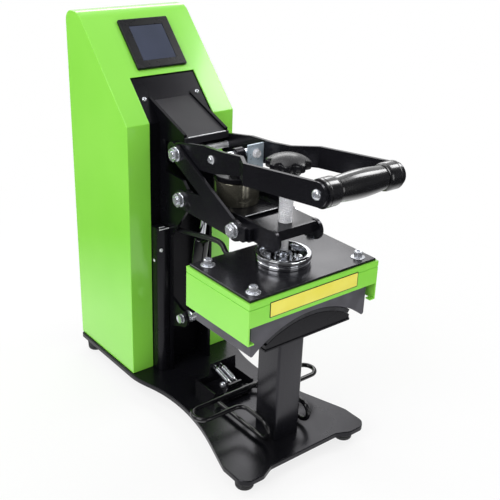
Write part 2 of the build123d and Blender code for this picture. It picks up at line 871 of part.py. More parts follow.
ring_in_r = ring_r - ring_wall
hub_top_z = platen_top_z + hub_h
floor_z = platen_top_z + ring_floor
groove_z = platen_top_z + 4.4
with BuildPart() as swivel_flange:
    with BuildSketch(Plane.XZ.offset(-spindle_y)):
        with BuildLine():
            Polyline(
                (0, platen_top_z),
                (ring_r - 1, platen_top_z),
                (ring_r - 1, groove_z),
                (ring_r - 1.6, groove_z + 0.6),
                (ring_r - 1.6, groove_z + 1.4),
                (ring_r, groove_z + 2),
                (ring_r, platen_top_z + ring_h - 1),
                (ring_r - 1, platen_top_z + ring_h),
                (ring_in_r + 1, platen_top_z + ring_h),
                (ring_in_r, platen_top_z + ring_h - 1),
                (ring_in_r, floor_z),
                (hub_r, floor_z),
                (hub_r, hub_top_z - 1),
                (hub_r - 1, hub_top_z),
                (stem_r + bore_gap, hub_top_z),
                (stem_r + bore_gap, stem_bottom_z - 0.2),
                (0, stem_bottom_z - 0.2),
                close=True,
            )
        make_face()
    revolve(axis=Axis((0, spindle_y, 0), (0, 0, 1)), revolution_arc=360)
    with BuildSketch(Plane.XY.offset(platen_top_z)):
        with Locations((0, spindle_y)):
            with PolarLocations(flange_screw_r, 4, start_angle=45):
                Circle(screw_r + 0.1)
    extrude(amount=ring_floor, mode=Mode.SUBTRACT)
save(swivel_flange.part, "swivel_flange")

with BuildPart() as platen_screws:
    with Locations((0, mid_y, platen_top_z)):
        with GridLocations(2 * platen_screw_x, screw_span_y, 2, 2):
            Cylinder(screw_washer_r, screw_washer_t, align=(Align.CENTER, Align.CENTER, Align.MIN))
            Cylinder(cap_head_r, screw_washer_t + cap_head_h, align=(Align.CENTER, Align.CENTER, Align.MIN))
            Cylinder(screw_r, platen_top_t + 1.2, align=(Align.CENTER, Align.CENTER, Align.MAX))
    with Locations((0, spindle_y, floor_z)):
        with PolarLocations(flange_screw_r, 4, start_angle=45):
            Cylinder(cap_head_r, cap_head_h, align=(Align.CENTER, Align.CENTER, Align.MIN))
            Cylinder(screw_r, ring_floor, align=(Align.CENTER, Align.CENTER, Align.MAX))
    with BuildSketch(Plane.XY.offset(floor_z + cap_head_h - 3)):
        with Locations((0, mid_y)):
            with GridLocations(2 * platen_screw_x, screw_span_y, 2, 2):
                RegularPolygon(2.5, 6)
        with Locations((0, spindle_y)):
            with PolarLocations(flange_screw_r, 4, start_angle=45):
                RegularPolygon(2.5, 6)
    extrude(amount=6, mode=Mode.SUBTRACT)
save(platen_screws.part, "platen_screws")

# =====================================================================
# pressure spindle and star knob
# =====================================================================
knob_mid_z = knob_bottom_z + 9
with BuildPart() as spindle:
    with BuildSketch(Plane.XZ.offset(-spindle_y)):
        with BuildLine():
            Polyline(
                (0, stem_bottom_z),
                (stem_r, stem_bottom_z),
                (stem_r, head_top_z - web_t - nut_h - 2),
                (spindle_r - 0.8, head_top_z - web_t - nut_h - 1),
                (spindle_r - 0.8, knob_mid_z),
                (0, knob_mid_z),
                close=True,
            )
        make_face()
    revolve(axis=Axis((0, spindle_y, 0), (0, 0, 1)), revolution_arc=360)
    thread_low = head_top_z - web_t - nut_h
    thread_pitch = 2.0
    turns = int((knob_bottom_z - 1 - thread_low) / thread_pitch)
    with BuildSketch(Plane.XZ.offset(-spindle_y)):
        for k in range(turns):
            z0 = thread_low + k * thread_pitch
            with BuildLine():
                Polyline(
                    (spindle_r - 1.2, z0 + 0.1),
                    (spindle_r - 0.05, z0 + 0.9),
                    (spindle_r - 0.05, z0 + 1.1),
                    (spindle_r - 1.2, z0 + 1.9),
                    close=True,
                )
            make_face()
    revolve(axis=Axis((0, spindle_y, 0), (0, 0, 1)), revolution_arc=360)
save(spindle.part, "pressure_spindle")

with BuildPart() as star_knob:
    with BuildSketch(Plane.XZ.offset(-spindle_y)):
        with BuildLine():
            Line((0, knob_mid_z + 0.2), (spindle_r + 3, knob_mid_z + 0.2))
            Line((0, knob_mid_z + 0.2), (0, knob_top_z))
            ThreePointArc((0, knob_top_z), (knob_r * 0.62, knob_top_z - 3.2), (knob_r, knob_top_z - 9.5))
            Line((knob_r, knob_top_z - 9.5), (knob_r, knob_bottom_z + 3))
            Line((knob_r, knob_bottom_z + 3), (knob_r - 2, knob_bottom_z + 1))
            Line((knob_r - 2, knob_bottom_z + 1), (spindle_r + 6, knob_bottom_z))
            Line((spindle_r + 6, knob_bottom_z), (spindle_r + 3, knob_bottom_z))
            Line((spindle_r + 3, knob_bottom_z), (spindle_r + 3, knob_mid_z + 0.2))
        make_face()
    revolve(axis=Axis((0, spindle_y, 0), (0, 0, 1)), revolution_arc=360)
    with BuildSketch(Plane.XZ.offset(-spindle_y)):
        with BuildLine():
            Polyline(
                (spindle_r + bore_gap, knob_bottom_z),
                (spindle_r + 4, knob_bottom_z),
                (spindle_r + 4, knob_mid_z + 0.3),
                (0, knob_mid_z + 0.3),
                (0, knob_mid_z + 0.1),
                (spindle_r + bore_gap, knob_mid_z + 0.1),
                close=True,
            )
        make_face()
    revolve(axis=Axis((0, spindle_y, 0), (0, 0, 1)), revolution_arc=360)
    with BuildSketch(Plane.XY.offset(knob_bottom_z - 1)):
        with Locations((0, spindle_y)):
            with PolarLocations(knob_r + knob_scallop_out, knob_lobes, start_angle=22.5):
                Circle(knob_scallop_r)
    extrude(amount=knob_top_z - knob_bottom_z + 2, mode=Mode.SUBTRACT)
save(star_knob.part, "star_knob")

# =====================================================================
# press arm: outer plates, head channel, magnet
# =====================================================================
link_len = math.hypot(handle_pivot_y - head_bolt_y, handle_pivot_z - head_bolt_z)
rise_y = (handle_pivot_y - head_bolt_y) / link_len
rise_z = (handle_pivot_z - head_bolt_z) / link_len
for side, sign in (("left", -1), ("right", 1)):
    first_x = -arm_out if sign < 0 else arm_in
    with BuildPart() as arm_plate:
        with BuildSketch(Plane.YZ.offset(first_x)) as arm_sketch:
            with BuildLine():
                Polyline(
                    (head_bolt_y - rise_z * arm_bar_half, head_bolt_z + rise_y * arm_bar_half),
                    (handle_pivot_y - rise_z * arm_bar_half, handle_pivot_z + rise_y * arm_bar_half),
                    (handle_pivot_y + rise_z * arm_bar_half, handle_pivot_z - rise_y * arm_bar_half),
                    (head_bolt_y + rise_z * arm_bar_half, head_bolt_z - rise_y * arm_bar_half),
                    close=True,
                )
            make_face()
            with BuildLine():
                Polyline(
                    (arm_pivot_y, arm_pivot_z - arm_eye_r + 1),
                    (arm_pivot_y, arm_pivot_z + arm_eye_r - 1),
                    (arm_knee_y, arm_knee_z),
                    (head_bolt_y, head_bolt_z + arm_end_r - 1),
                    (head_bolt_y - 8, head_bolt_z - arm_end_r + 2),
                    close=True,
                )
            make_face()
            with Locations((handle_pivot_y, handle_pivot_z)):
                Circle(arm_bar_half + 0.5)
            with Locations((arm_pivot_y, arm_pivot_z)):
                Circle(arm_eye_r)
            with Locations((head_bolt_y, head_bolt_z)):
                Circle(arm_end_r)
            with Locations((head_bolt_y - 11, head_bolt_z)):
                Rectangle(18, 18)
            with Locations((arm_pivot_y, arm_pivot_z), (handle_pivot_y, handle_pivot_z)):
                Circle(pivot_shaft_r + bore_gap, mode=Mode.SUBTRACT)
            with Locations((head_bolt_y, head_bolt_z)):
                Circle(pivot_shaft_r + bore_gap, mode=Mode.SUBTRACT)
            with Locations((cross_pin_y, cross_pin_z)):
                Circle(cross_pin_r + bore_gap, mode=Mode.SUBTRACT)
        extrude(amount=plate_layer_t)
        cross_edges = arm_plate.edges().filter_by(Axis.X)
        fillet(cross_edges.filter_by_position(Axis.Y, head_bolt_y - 21, head_bolt_y - 19), radius=4)
    save(arm_plate.part, "arm_plate_" + side)

with BuildPart() as arm_ties:
    for s in (-1, 1):
        with BuildSketch(Plane.YZ.offset(s * head_out)):
            with Locations(((tie_front_y + tie_rear_y) / 2, head_bolt_z)):
                RectangleRounded(tie_rear_y - tie_front_y, 2 * tie_half_h, 2)
            with Locations((head_bolt_y, head_bolt_z)):
                Circle(pivot_shaft_r + bore_gap, mode=Mode.SUBTRACT)
        extrude(amount=s * (arm_in - head_out))
save(arm_ties.part, "arm_tie_blocks")

arm_bolts = []
for s in (-1, 1):
    for first_x, bolt_y, bolt_z in (
        (head_in, head_bolt_y, head_bolt_z),
        (frame_out + 0.4, handle_pivot_y, handle_pivot_z),
    ):
        arm_bolts.append(
            hex_bolt(first_x, arm_out, bolt_head_t, bolt_across, pivot_shaft_r, bolt_y, bolt_z, s, bolt_washer_r)
        )
save(Compound(children=arm_bolts), "arm_bolts")

with BuildPart() as cross_pin:
    with BuildSketch(Plane.YZ.offset(-arm_out)):
        with Locations((cross_pin_y, cross_pin_z)):
            Circle(cross_pin_r)
    extrude(amount=2 * arm_out)
save(cross_pin.part, "arm_cross_pin")

with BuildPart() as head_channel:
    for s in (-1, 1):
        with BuildSketch(Plane.YZ.offset(s * head_in)) as cheek:
            with Locations((cheek_front_y, cheek_axis_z)):
                Circle(cheek_r)
            with BuildLine():
                Polyline(
                    (cheek_front_y, cheek_axis_z - cheek_r),
                    (head_bolt_y + 4, cheek_axis_z - cheek_r + 1),
                    (head_bolt_y + 9, cheek_axis_z - 5),
                    (head_bolt_y + 9, head_bolt_z + 6),
                    (head_bolt_y + 4, head_top_z),
                    (cheek_front_y, head_top_z),
                    close=True,
                )
            make_face()
            with Locations((head_bolt_y, head_bolt_z)):
                Circle(pivot_shaft_r + bore_gap, mode=Mode.SUBTRACT)
        extrude(amount=s * 4.0)
    with BuildSketch(Plane.XY.offset(head_top_z - web_t)):
        with Locations((0, (web_rear_y + cheek_front_y - 4) / 2)):
            Rectangle(2 * head_in + 1, web_rear_y - cheek_front_y + 4)
        with Locations((0, spindle_y)):
            Circle(spindle_r + bore_gap, mode=Mode.SUBTRACT)
    extrude(amount=web_t)
    with BuildSketch(Plane.XZ.offset(-(cheek_front_y - 4))):
        with Locations((0, head_top_z - 6)):
            Rectangle(2 * head_in + 1, 12)
    extrude(amount=-3)
    with BuildSketch(Plane.XY.offset(head_top_z - web_t - nut_h)):
        with Locations((0, spindle_y)):
            RegularPolygon(nut_r, 6)
            Circle(spindle_r + bore_gap, mode=Mode.SUBTRACT)
    extrude(amount=nut_h)
save(head_channel.part, "head_channel")

carrier_top_z = magnet_plate_top_z - magnet_plate_t
with BuildPart() as magnet_carrier:
    with BuildSketch(Plane.XY.offset(carrier_top_z - carrier_t)):
        with Locations((0, (carrier_front_y + carrier_rear_y) / 2)):
            Rectangle(2 * head_in, carrier_rear_y - carrier_front_y)
        with Locations((0, magnet_y)):
            with GridLocations(magnet_screw_x, magnet_screw_y, 2, 2):
                Circle(2.6, mode=Mode.SUBTRACT)
    extrude(amount=carrier_t)
    for s in (-1, 1):
        with BuildSketch(Plane.YZ.offset(s * head_in)):
            with Locations((carrier_front_y + 9, carrier_top_z - 9)):
                Rectangle(16, 14)
        extrude(amount=-s * 3.0)
    for s in (-1, 1):
        with BuildSketch(Plane.XY.offset(carrier_top_z - carrier_t)):
            with Locations((s * (head_in + arm_in) / 2, carrier_rear_y - 5)):
                Rectangle(arm_in - head_in, 8)
        extrude(amount=carrier_t)
save(magnet_carrier.part, "magnet_carrier")

with BuildPart() as magnet_plate:
    with BuildSketch(Plane.XY.offset(carrier_top_z)):
        with Locations((0, magnet_y - magnet_plate_set)):
            Rectangle(2 * head_in - 3, magnet_plate_len)
        with Locations((0, magnet_y)):
            with GridLocations(magnet_screw_x, magnet_screw_y, 2, 2):
                Circle(2.6, mode=Mode.SUBTRACT)
    extrude(amount=magnet_plate_t)
save(magnet_plate.part, "magnet_plate")

with BuildPart() as magnet_screws:
    with BuildSketch(Plane.XY.offset(carrier_top_z - carrier_t - 8)):
        with Locations((0, magnet_y)):
            with GridLocations(magnet_screw_x, magnet_screw_y, 2, 2):
                Circle(2.5)
    extrude(amount=8 + carrier_t + magnet_plate_t + 4)
    with BuildSketch(Plane.XY.offset(carrier_top_z - carrier_t - 4)):
        with Locations((0, magnet_y)):
            with GridLocations(magnet_screw_x, magnet_screw_y, 2, 2):
                RegularPolygon(4.6, 6)
    extrude(amount=4)
save(magnet_screws.part, "magnet_screws")

with BuildPart() as magnet_body:
    with BuildSketch(Plane.XZ.offset(-magnet_y)):
        with BuildLine():
            Polyline(
                (0, magnet_plate_top_z),
                (magnet_r - 0.8, magnet_plate_top_z),
                (magnet_r, magnet_plate_top_z + 0.8),
                (magnet_r, magnet_top_z - 0.8),
                (magnet_r - 0.8, magnet_top_z),
                (magnet_r - 6, magnet_top_z),
                (magnet_r - 6, magnet_top_z - 1),
                (9.5, magnet_top_z - 1),
                (9.5, magnet_top_z),
                (0, magnet_top_z),
                close=True,
            )
        make_face()
    revolve(axis=Axis((0, magnet_y, 0), (0, 0, 1)), revolution_arc=360)
    with BuildSketch(Plane.XY.offset(magnet_plate_top_z - 1)):
        with Locations((0, magnet_y)):
            with GridLocations(magnet_screw_x, magnet_screw_y, 2, 2):
                Circle(3.1)
    extrude(amount=6, mode=Mode.SUBTRACT)
save(magnet_body.part, "magnet_body")

# =====================================================================
# handle
# =====================================================================
toggle_len = math.hypot(link_anchor_y - handle_pivot_y, link_anchor_z - handle_pivot_z)
toggle_y = (link_anchor_y - handle_pivot_y) / toggle_len
toggle_z = (link_anchor_z - handle_pivot_z) / toggle_len
crank_y = handle_pivot_y + toggle_y * crank_r
crank_z = handle_pivot_z + toggle_z * crank_r
grip_arm_in = grip_arm_half - plate_layer_t
step_turn = math.atan2(grip_arm_half - handle_out, handle_bend_y - handle_step_y)
step_mitre = plate_layer_t / 2 * math.tan(step_turn / 2)

for side, sign in (("left", -1), ("right", 1)):
    with BuildPart() as handle_plate:
        with BuildSketch(Plane.YZ.offset(sign * handle_in)):
            with BuildLine():
                Polyline(
                    (handle_pivot_y + 2, handle_pivot_z + 13.5),
                    (handle_hip_y, handle_hip_z),
                    (handle_crest_y, handle_crest_z),
                    (handle_bend_y, handle_bend_top_z),
                    (handle_step_y, handle_step_top_z),
                    (grip_y, grip_z + grip_end_r),
                    (grip_y, grip_z - grip_end_r),
                    (handle_step_y, handle_step_low_z),
                    (handle_bend_y, handle_bend_low_z),
                    (handle_belly_y, handle_belly_z),
                    (handle_pivot_y, handle_pivot_z - 13),
                    close=True,
                )
            make_face()
            with Locations((handle_pivot_y, handle_pivot_z)):
                Circle(13.5)
            with Locations((crank_y, crank_z)):
                Circle(9)
                Circle(pin_r + bore_gap, mode=Mode.SUBTRACT)
            with Locations((grip_y, grip_z)):
                Circle(grip_end_r)
                Circle(grip_rod_r + 1.0, mode=Mode.SUBTRACT)
            with Locations((handle_pivot_y, handle_pivot_z)):
                Circle(pivot_shaft_r + bore_gap, mode=Mode.SUBTRACT)
            with Locations((armature_pin_y, armature_pin_z)):
                Circle(armature_pin_r + bore_gap, mode=Mode.SUBTRACT)
        extrude(amount=sign * (grip_arm_half - handle_in))
        with BuildSketch(Plane.XY.offset(handle_belly_z - 20)):
            with BuildLine():
                Polyline(
                    (sign * handle_in, handle_pivot_y + 40),
                    (sign * handle_in, handle_bend_y - step_mitre),
                    (sign * grip_arm_in, handle_step_y - step_mitre),
                    (sign * grip_arm_in, grip_y - 2 * grip_end_r),
                    (sign * grip_arm_half, grip_y - 2 * grip_end_r),
                    (sign * grip_arm_half, handle_step_y + step_mitre),
                    (sign * handle_out, handle_bend_y + step_mitre),
                    (sign * handle_out, handle_pivot_y + 40),
                    close=True,
                )
            make_face()
        extrude(amount=100, mode=Mode.INTERSECT)
    save(handle_plate.part, "handle_plate_" + side)

grip_in = grip_arm_in - 0.1
collar_in = grip_in - grip_collar_len
with BuildPart() as handle_grip:
    with BuildSketch(Plane.XY.offset(grip_z)):
        with BuildLine():
            Line((-collar_in, grip_y - grip_rod_r - 0.2), (-collar_in, grip_y - grip_neck_r))
            ThreePointArc(
                (-collar_in, grip_y - grip_neck_r),
                (0, grip_y - grip_bulge_r),
                (collar_in, grip_y - grip_neck_r),
            )
            Line((collar_in, grip_y - grip_neck_r), (collar_in, grip_y - grip_rod_r - 0.2))
            Line((collar_in, grip_y - grip_rod_r - 0.2), (-collar_in, grip_y - grip_rod_r - 0.2))
        make_face()
    revolve(axis=Axis((0, grip_y, grip_z), (1, 0, 0)), revolution_arc=360)
save(handle_grip.part, "handle_grip")

with BuildPart() as grip_collars:
    for s in (-1, 1):
        with BuildSketch(Plane.XY.offset(grip_z)):
            with BuildLine():
                Polyline(
                    (s * collar_in, grip_y - grip_rod_r - 0.2),
                    (s * collar_in, grip_y - grip_collar_r + 2.5),
                    (s * (collar_in + 1.5), grip_y - grip_collar_r + 0.5),
                    (s * (collar_in + 4), grip_y - grip_collar_r),
                    (s * grip_in, grip_y - grip_collar_r),
                    (s * grip_in, grip_y - grip_rod_r - 0.2),
                    close=True,
                )
            make_face()
        revolve(axis=Axis((0, grip_y, grip_z), (1, 0, 0)), revolution_arc=360)
save(grip_collars.part, "grip_collars")

with BuildPart() as grip_rod:
    for s in (-1, 1):
        with BuildSketch(Plane.YZ.offset(s * grip_arm_half)):
            with Locations((grip_y, grip_z)):
                Circle(grip_head_r)
        extrude(amount=s * grip_head_h)
    fillet(grip_rod.faces().sort_by(Axis.X)[0].edges(), radius=2.2)
    fillet(grip_rod.faces().sort_by(Axis.X)[-1].edges(), radius=2.2)
    for s in (-1, 1):
        with BuildSketch(Plane.YZ.offset(s * (grip_arm_half + 1.4))):
            with Locations((grip_y, grip_z)):
                RegularPolygon(2.8, 6)
        extrude(amount=s * grip_head_h, mode=Mode.SUBTRACT)
    with BuildSketch(Plane.YZ.offset(-grip_arm_half - 1)):
        with Locations((grip_y, grip_z)):
            Circle(grip_rod_r)
    extrude(amount=2 * grip_arm_half + 2)
save(grip_rod.part, "grip_rod")

with BuildPart() as crank_pin:
    with BuildSketch(Plane.YZ.offset(-handle_out)):
        with Locations((crank_y, crank_z)):
            Circle(pin_r)
    extrude(amount=2 * handle_out)
save(crank_pin.part, "crank_pin")

with BuildPart() as armature_pin:
    with BuildSketch(Plane.YZ.offset(-handle_out - 3.5)):
        with Locations((armature_pin_y, armature_pin_z)):
            Circle(armature_pin_r)
    extrude(amount=2 * handle_out + 7)
    for s in (-1, 1):
        with BuildSketch(Plane.YZ.offset(s * (handle_out + 0.2))):
            with Locations((armature_pin_y, armature_pin_z)):
                Circle(armature_pin_r + 2.2)
        extrude(amount=s * 1.2)
save(armature_pin.part, "armature_pin")

plate_low_z = magnet_top_z + armature_gap
bracket_x_in = 9.0
bracket_x_out = handle_in - 0.8
bracket_face_y = armature_pin_y - armature_pin_r - 2.6
with BuildPart() as armature:
    with BuildSketch(Plane.XY.offset(plate_low_z)):
        with Locations((0, magnet_y)):
            Circle(magnet_r)
    extrude(amount=armature_t)
    chamfer(armature.edges().filter_by(GeomType.CIRCLE), length=0.8)
    with BuildSketch(Plane.YZ.offset(-6)):
        with BuildLine():
            Polyline(
                (armature_pin_y - 9, plate_low_z + armature_t - 0.5),
                (armature_pin_y - 8, armature_pin_z),
                (armature_pin_y + 8, armature_pin_z),
                (armature_pin_y + 9, plate_low_z + armature_t - 0.5),
                close=True,
            )
        make_face()
        with Locations((armature_pin_y, armature_pin_z)):
            Circle(8)
            Circle(armature_pin_r + bore_gap, mode=Mode.SUBTRACT)
    extrude(amount=12)
save(armature.part, "armature")

bracket_mid_x = (bracket_x_in + bracket_x_out) / 2
with BuildPart() as armature_bracket:
    with BuildSketch(Plane.XZ.offset(-bracket_face_y)):
        with Locations((bracket_mid_x, (plate_low_z + armature_t + armature_bracket_z) / 2)):
            Rectangle(bracket_x_out - bracket_x_in, armature_bracket_z - plate_low_z - armature_t - 0.1)
    extrude(amount=-2.5)
    with BuildSketch(Plane.XY.offset(plate_low_z + armature_t + 0.05)):
        with Locations((12.5, bracket_face_y + 6)):
            Rectangle(11, 12)
    extrude(amount=2.5)
    with BuildSketch(Plane.XZ.offset(-bracket_face_y + 1)):
        with Locations((bracket_mid_x, armature_pin_z)):
            Circle(2.6)
    extrude(amount=-5, mode=Mode.SUBTRACT)
save(armature_bracket.part, "armature_bracket")

with BuildPart() as bracket_bolt:
    with BuildSketch(Plane.XZ.offset(-bracket_face_y)):
        with Locations((bracket_mid_x, armature_pin_z)):
            Circle(5.5)
    extrude(amount=1.0)
    with BuildSketch(Plane.XZ.offset(-bracket_face_y + 1.0)):
        with Locations((bracket_mid_x, armature_pin_z)):
            RegularPolygon(4.6, 6)
    extrude(amount=3.6)
    with BuildSketch(Plane.XZ.offset(-bracket_face_y)):
        with Locations((bracket_mid_x, armature_pin_z)):
            Circle(2.5)
    extrude(amount=-2.5)
save(bracket_bolt.part, "bracket_bolt")

# =====================================================================
# toggle link between the handle's crank and the frame
# =====================================================================
link_angle = math.degrees(math.atan2(toggle_z, toggle_y))
link_slot_r = pin_r + link_slot_gap
slot_y = crank_y + toggle_y * link_slot_len / 2
slot_z = crank_z + toggle_z * link_slot_len / 2
with BuildPart() as toggle_link:
    with BuildSketch(Plane.YZ.offset(-link_half_w)):
        with Locations((link_anchor_y, link_anchor_z)):
            Circle(link_eye_r)
        with Locations(((link_anchor_y + crank_y) / 2, (link_anchor_z + crank_z) / 2)):
            Rectangle(toggle_len - crank_r, 2 * link_eye_r - 2, rotation=link_angle)
        with Locations((slot_y, slot_z)):
            SlotCenterToCenter(link_slot_len, 2 * (link_slot_r + 2.2), rotation=link_angle)
            SlotCenterToCenter(link_slot_len, 2 * link_slot_r, rotation=link_angle, mode=Mode.SUBTRACT)
        with Locations((link_anchor_y, link_anchor_z)):
            Circle(pin_r + bore_gap, mode=Mode.SUBTRACT)
    extrude(amount=2 * link_half_w)
save(toggle_link.part, "toggle_link")

# =====================================================================
# gas spring: body on the frame, rod on the arm's cross pin
# =====================================================================
gas_len = math.hypot(cross_pin_y - gas_low_y, cross_pin_z - gas_low_z)
gas_dir = ((0), (cross_pin_y - gas_low_y) / gas_len, (cross_pin_z - gas_low_z) / gas_len)
gas_plane = Plane(origin=(gas_x, gas_low_y, gas_low_z), x_dir=(1, 0, 0), z_dir=gas_dir)
with BuildPart() as gas_body:
    with BuildSketch(gas_plane.offset(gas_fitting)):
        Circle(gas_body_r)
    extrude(amount=gas_body_len)
    fillet(gas_body.edges().filter_by(GeomType.CIRCLE), radius=2)
    with BuildSketch(gas_plane.offset(4)):
        Circle(4.5)
    extrude(amount=gas_fitting - 3)
    with BuildSketch(Plane.YZ.offset(gas_x - gas_eye_half)):
        with Locations((gas_low_y, gas_low_z)):
            Circle(8)
    extrude(amount=2 * gas_eye_half)
    with BuildSketch(Plane.YZ.offset(gas_x - gas_eye_half - 1)):
        with Locations((gas_low_y, gas_low_z)):
            Circle(pin_r + bore_gap)
    extrude(amount=2 * gas_eye_half + 2, mode=Mode.SUBTRACT)
    with BuildSketch(gas_plane.offset(40)):
        Circle(gas_rod_r + bore_gap)
    extrude(amount=gas_body_len, mode=Mode.SUBTRACT)
save(gas_body.part, "gas_spring_body")

gas_rod_low = 46.0
with BuildPart() as gas_rod:
    with BuildSketch(gas_plane.offset(gas_rod_low)):
        Circle(gas_rod_r)
    extrude(amount=gas_len - gas_rod_low - 6)
    with BuildSketch(Plane.YZ.offset(gas_x - gas_eye_half)):
        with Locations((cross_pin_y, cross_pin_z)):
            Circle(7.5)
    extrude(amount=2 * gas_eye_half)
    with BuildSketch(Plane.YZ.offset(gas_x - gas_eye_half - 1)):
        with Locations((cross_pin_y, cross_pin_z)):
            Circle(cross_pin_r + 1.2)
    extrude(amount=2 * gas_eye_half + 2, mode=Mode.SUBTRACT)
save(gas_rod.part, "gas_spring_rod")

# =====================================================================
# heater lead: held at the frame and at the platen
# =====================================================================
lead_points = [
    (panel_gland_x, case_front_y + panel_out - gland_h, panel_gland_z),
    (panel_gland_x, 64, panel_gland_z),
    (-28, 28, 239),
    (gland_x, -12, 248),
    (gland_x, -37, gland_z + 11),
    (gland_x, -45, gland_z),
    (gland_x, platen_rear_y + gland_h, gland_z),
]
lead_runs = [math.dist(lead_points[i], lead_points[i + 1]) for i in range(len(lead_points) - 1)]
lead_radii = []
for i in range(1, len(lead_points) - 1):
    a = Vector(*lead_points[i]) - Vector(*lead_points[i - 1])
    b = Vector(*lead_points[i + 1]) - Vector(*lead_points[i])
    turn = a.get_angle(b)
    shorter = min(lead_runs[i - 1], lead_runs[i])
    lead_radii.append(0.45 * shorter / math.tan(math.radians(turn) / 2))
with BuildPart() as heater_lead:
    with BuildLine() as lead_path:
        FilletPolyline(*lead_points, radius=lead_radii)
    with BuildSketch(Plane(origin=lead_points[0], z_dir=lead_path.line % 0)):
        Circle(lead_r)
    sweep()
save(heater_lead.part, "heater_lead")

with BuildPart() as platen_gland:
    with BuildSketch(Plane.XZ.offset(-(platen_rear_y - cover_wall))):
        with Locations((gland_x, gland_z)):
            Circle(gland_shank_r)
    extrude(amount=-cover_wall)
    with BuildSketch(Plane.XZ.offset(-platen_rear_y)):
        with Locations((gland_x, gland_z)):
            Circle(gland_r)
    extrude(amount=-gland_h)
    chamfer(platen_gland.faces().sort_by(Axis.Y)[-1].edges(), length=1.5)
save(platen_gland.part, "platen_gland")

with BuildPart() as panel_gland:
    with BuildSketch(Plane.XZ.offset(-(case_front_y + panel_out))):
        with Locations((panel_gland_x, panel_gland_z)):
            Circle(gland_r)
    extrude(amount=gland_h)
    chamfer(panel_gland.faces().sort_by(Axis.Y)[0].edges(), length=1.5)
save(panel_gland.part, "panel_gland")

# =====================================================================
# cap hold-down: wire bail, bracket and springs
# =====================================================================
with BuildPart() as bail:
    with BuildLine() as bail_path:
        upper_z = leg_z + 2 * hairpin_r
        bend_in = leg_bend_r * (1 - math.cos(math.pi / 4))
        for s in (-1, 1):
            Line((s * lug_half, leg_rear_y, leg_z), (s * (leg_x - leg_bend_r), leg_rear_y, leg_z))
            ThreePointArc(
                (s * (leg_x - leg_bend_r), leg_rear_y, leg_z),
                (s * (leg_x - bend_in), leg_rear_y - bend_in, leg_z),
                (s * leg_x, leg_rear_y - leg_bend_r, leg_z),
            )
            Line((s * leg_x, leg_rear_y - leg_bend_r, leg_z), (s * leg_x, hairpin_y, leg_z))
            ThreePointArc(
                (s * leg_x, hairpin_y, leg_z),
                (s * leg_x, hairpin_y - hairpin_r, leg_z + hairpin_r),
                (s * leg_x, hairpin_y, upper_z),
            )
            Line((s * leg_x, hairpin_y, upper_z), (s * leg_x, bail_turn_y - bail_turn_r, upper_z))
            ThreePointArc(
                (s * leg_x, bail_turn_y - bail_turn_r, upper_z),
                (
                    s * (leg_x + bail_turn_r * (1 - math.cos(math.pi / 4))),
                    bail_turn_y - bail_turn_r + bail_turn_r * math.sin(math.pi / 4),
                    upper_z,
                ),
                (s * (leg_x + bail_turn_r), bail_turn_y, upper_z),
            )
            Line((s * (leg_x + bail_turn_r), bail_turn_y, upper_z), (s * bail_loop_x, bail_turn_y, upper_z))
            ThreePointArc(
                (s * bail_loop_x, bail_turn_y, upper_z),
                (s * (bail_loop_x + bail_loop_r), bail_turn_y + bail_loop_r, upper_z),
                (s * bail_loop_x, bail_turn_y + 2 * bail_loop_r, upper_z),
            )
        Line(
            (-bail_loop_x, bail_turn_y + 2 * bail_loop_r, upper_z),
            (bail_loop_x, bail_turn_y + 2 * bail_loop_r, upper_z),
        )
    with BuildSketch(Plane(origin=(-lug_half, leg_rear_y, leg_z), z_dir=(-1, 0, 0))):
        Circle(wire_r)
    sweep(path=bail_path.wires()[0])
save(bail.part, "hold_down_bail")

with BuildPart() as bail_lug:
    with BuildSketch(Plane.YZ.offset(-lug_half)):
        with Locations((leg_rear_y, leg_z)):
            Circle(wire_r + 2.5)
    extrude(amount=2 * lug_half)
    with BuildSketch(Plane.XZ.offset(-(leg_rear_y + lug_set - 1.5))):
        with BuildLine():
            Polyline((-12, leg_z), (-10, leg_z + lug_h), (10, leg_z + lug_h), (12, leg_z), close=True)
        make_face()
        with Locations((-spring_x, leg_z + lug_hole_rise), (spring_x, leg_z + lug_hole_rise)):
            Circle(spring_hole_r, mode=Mode.SUBTRACT)
    extrude(amount=-3)
save(bail_lug.part, "hold_down_lug")

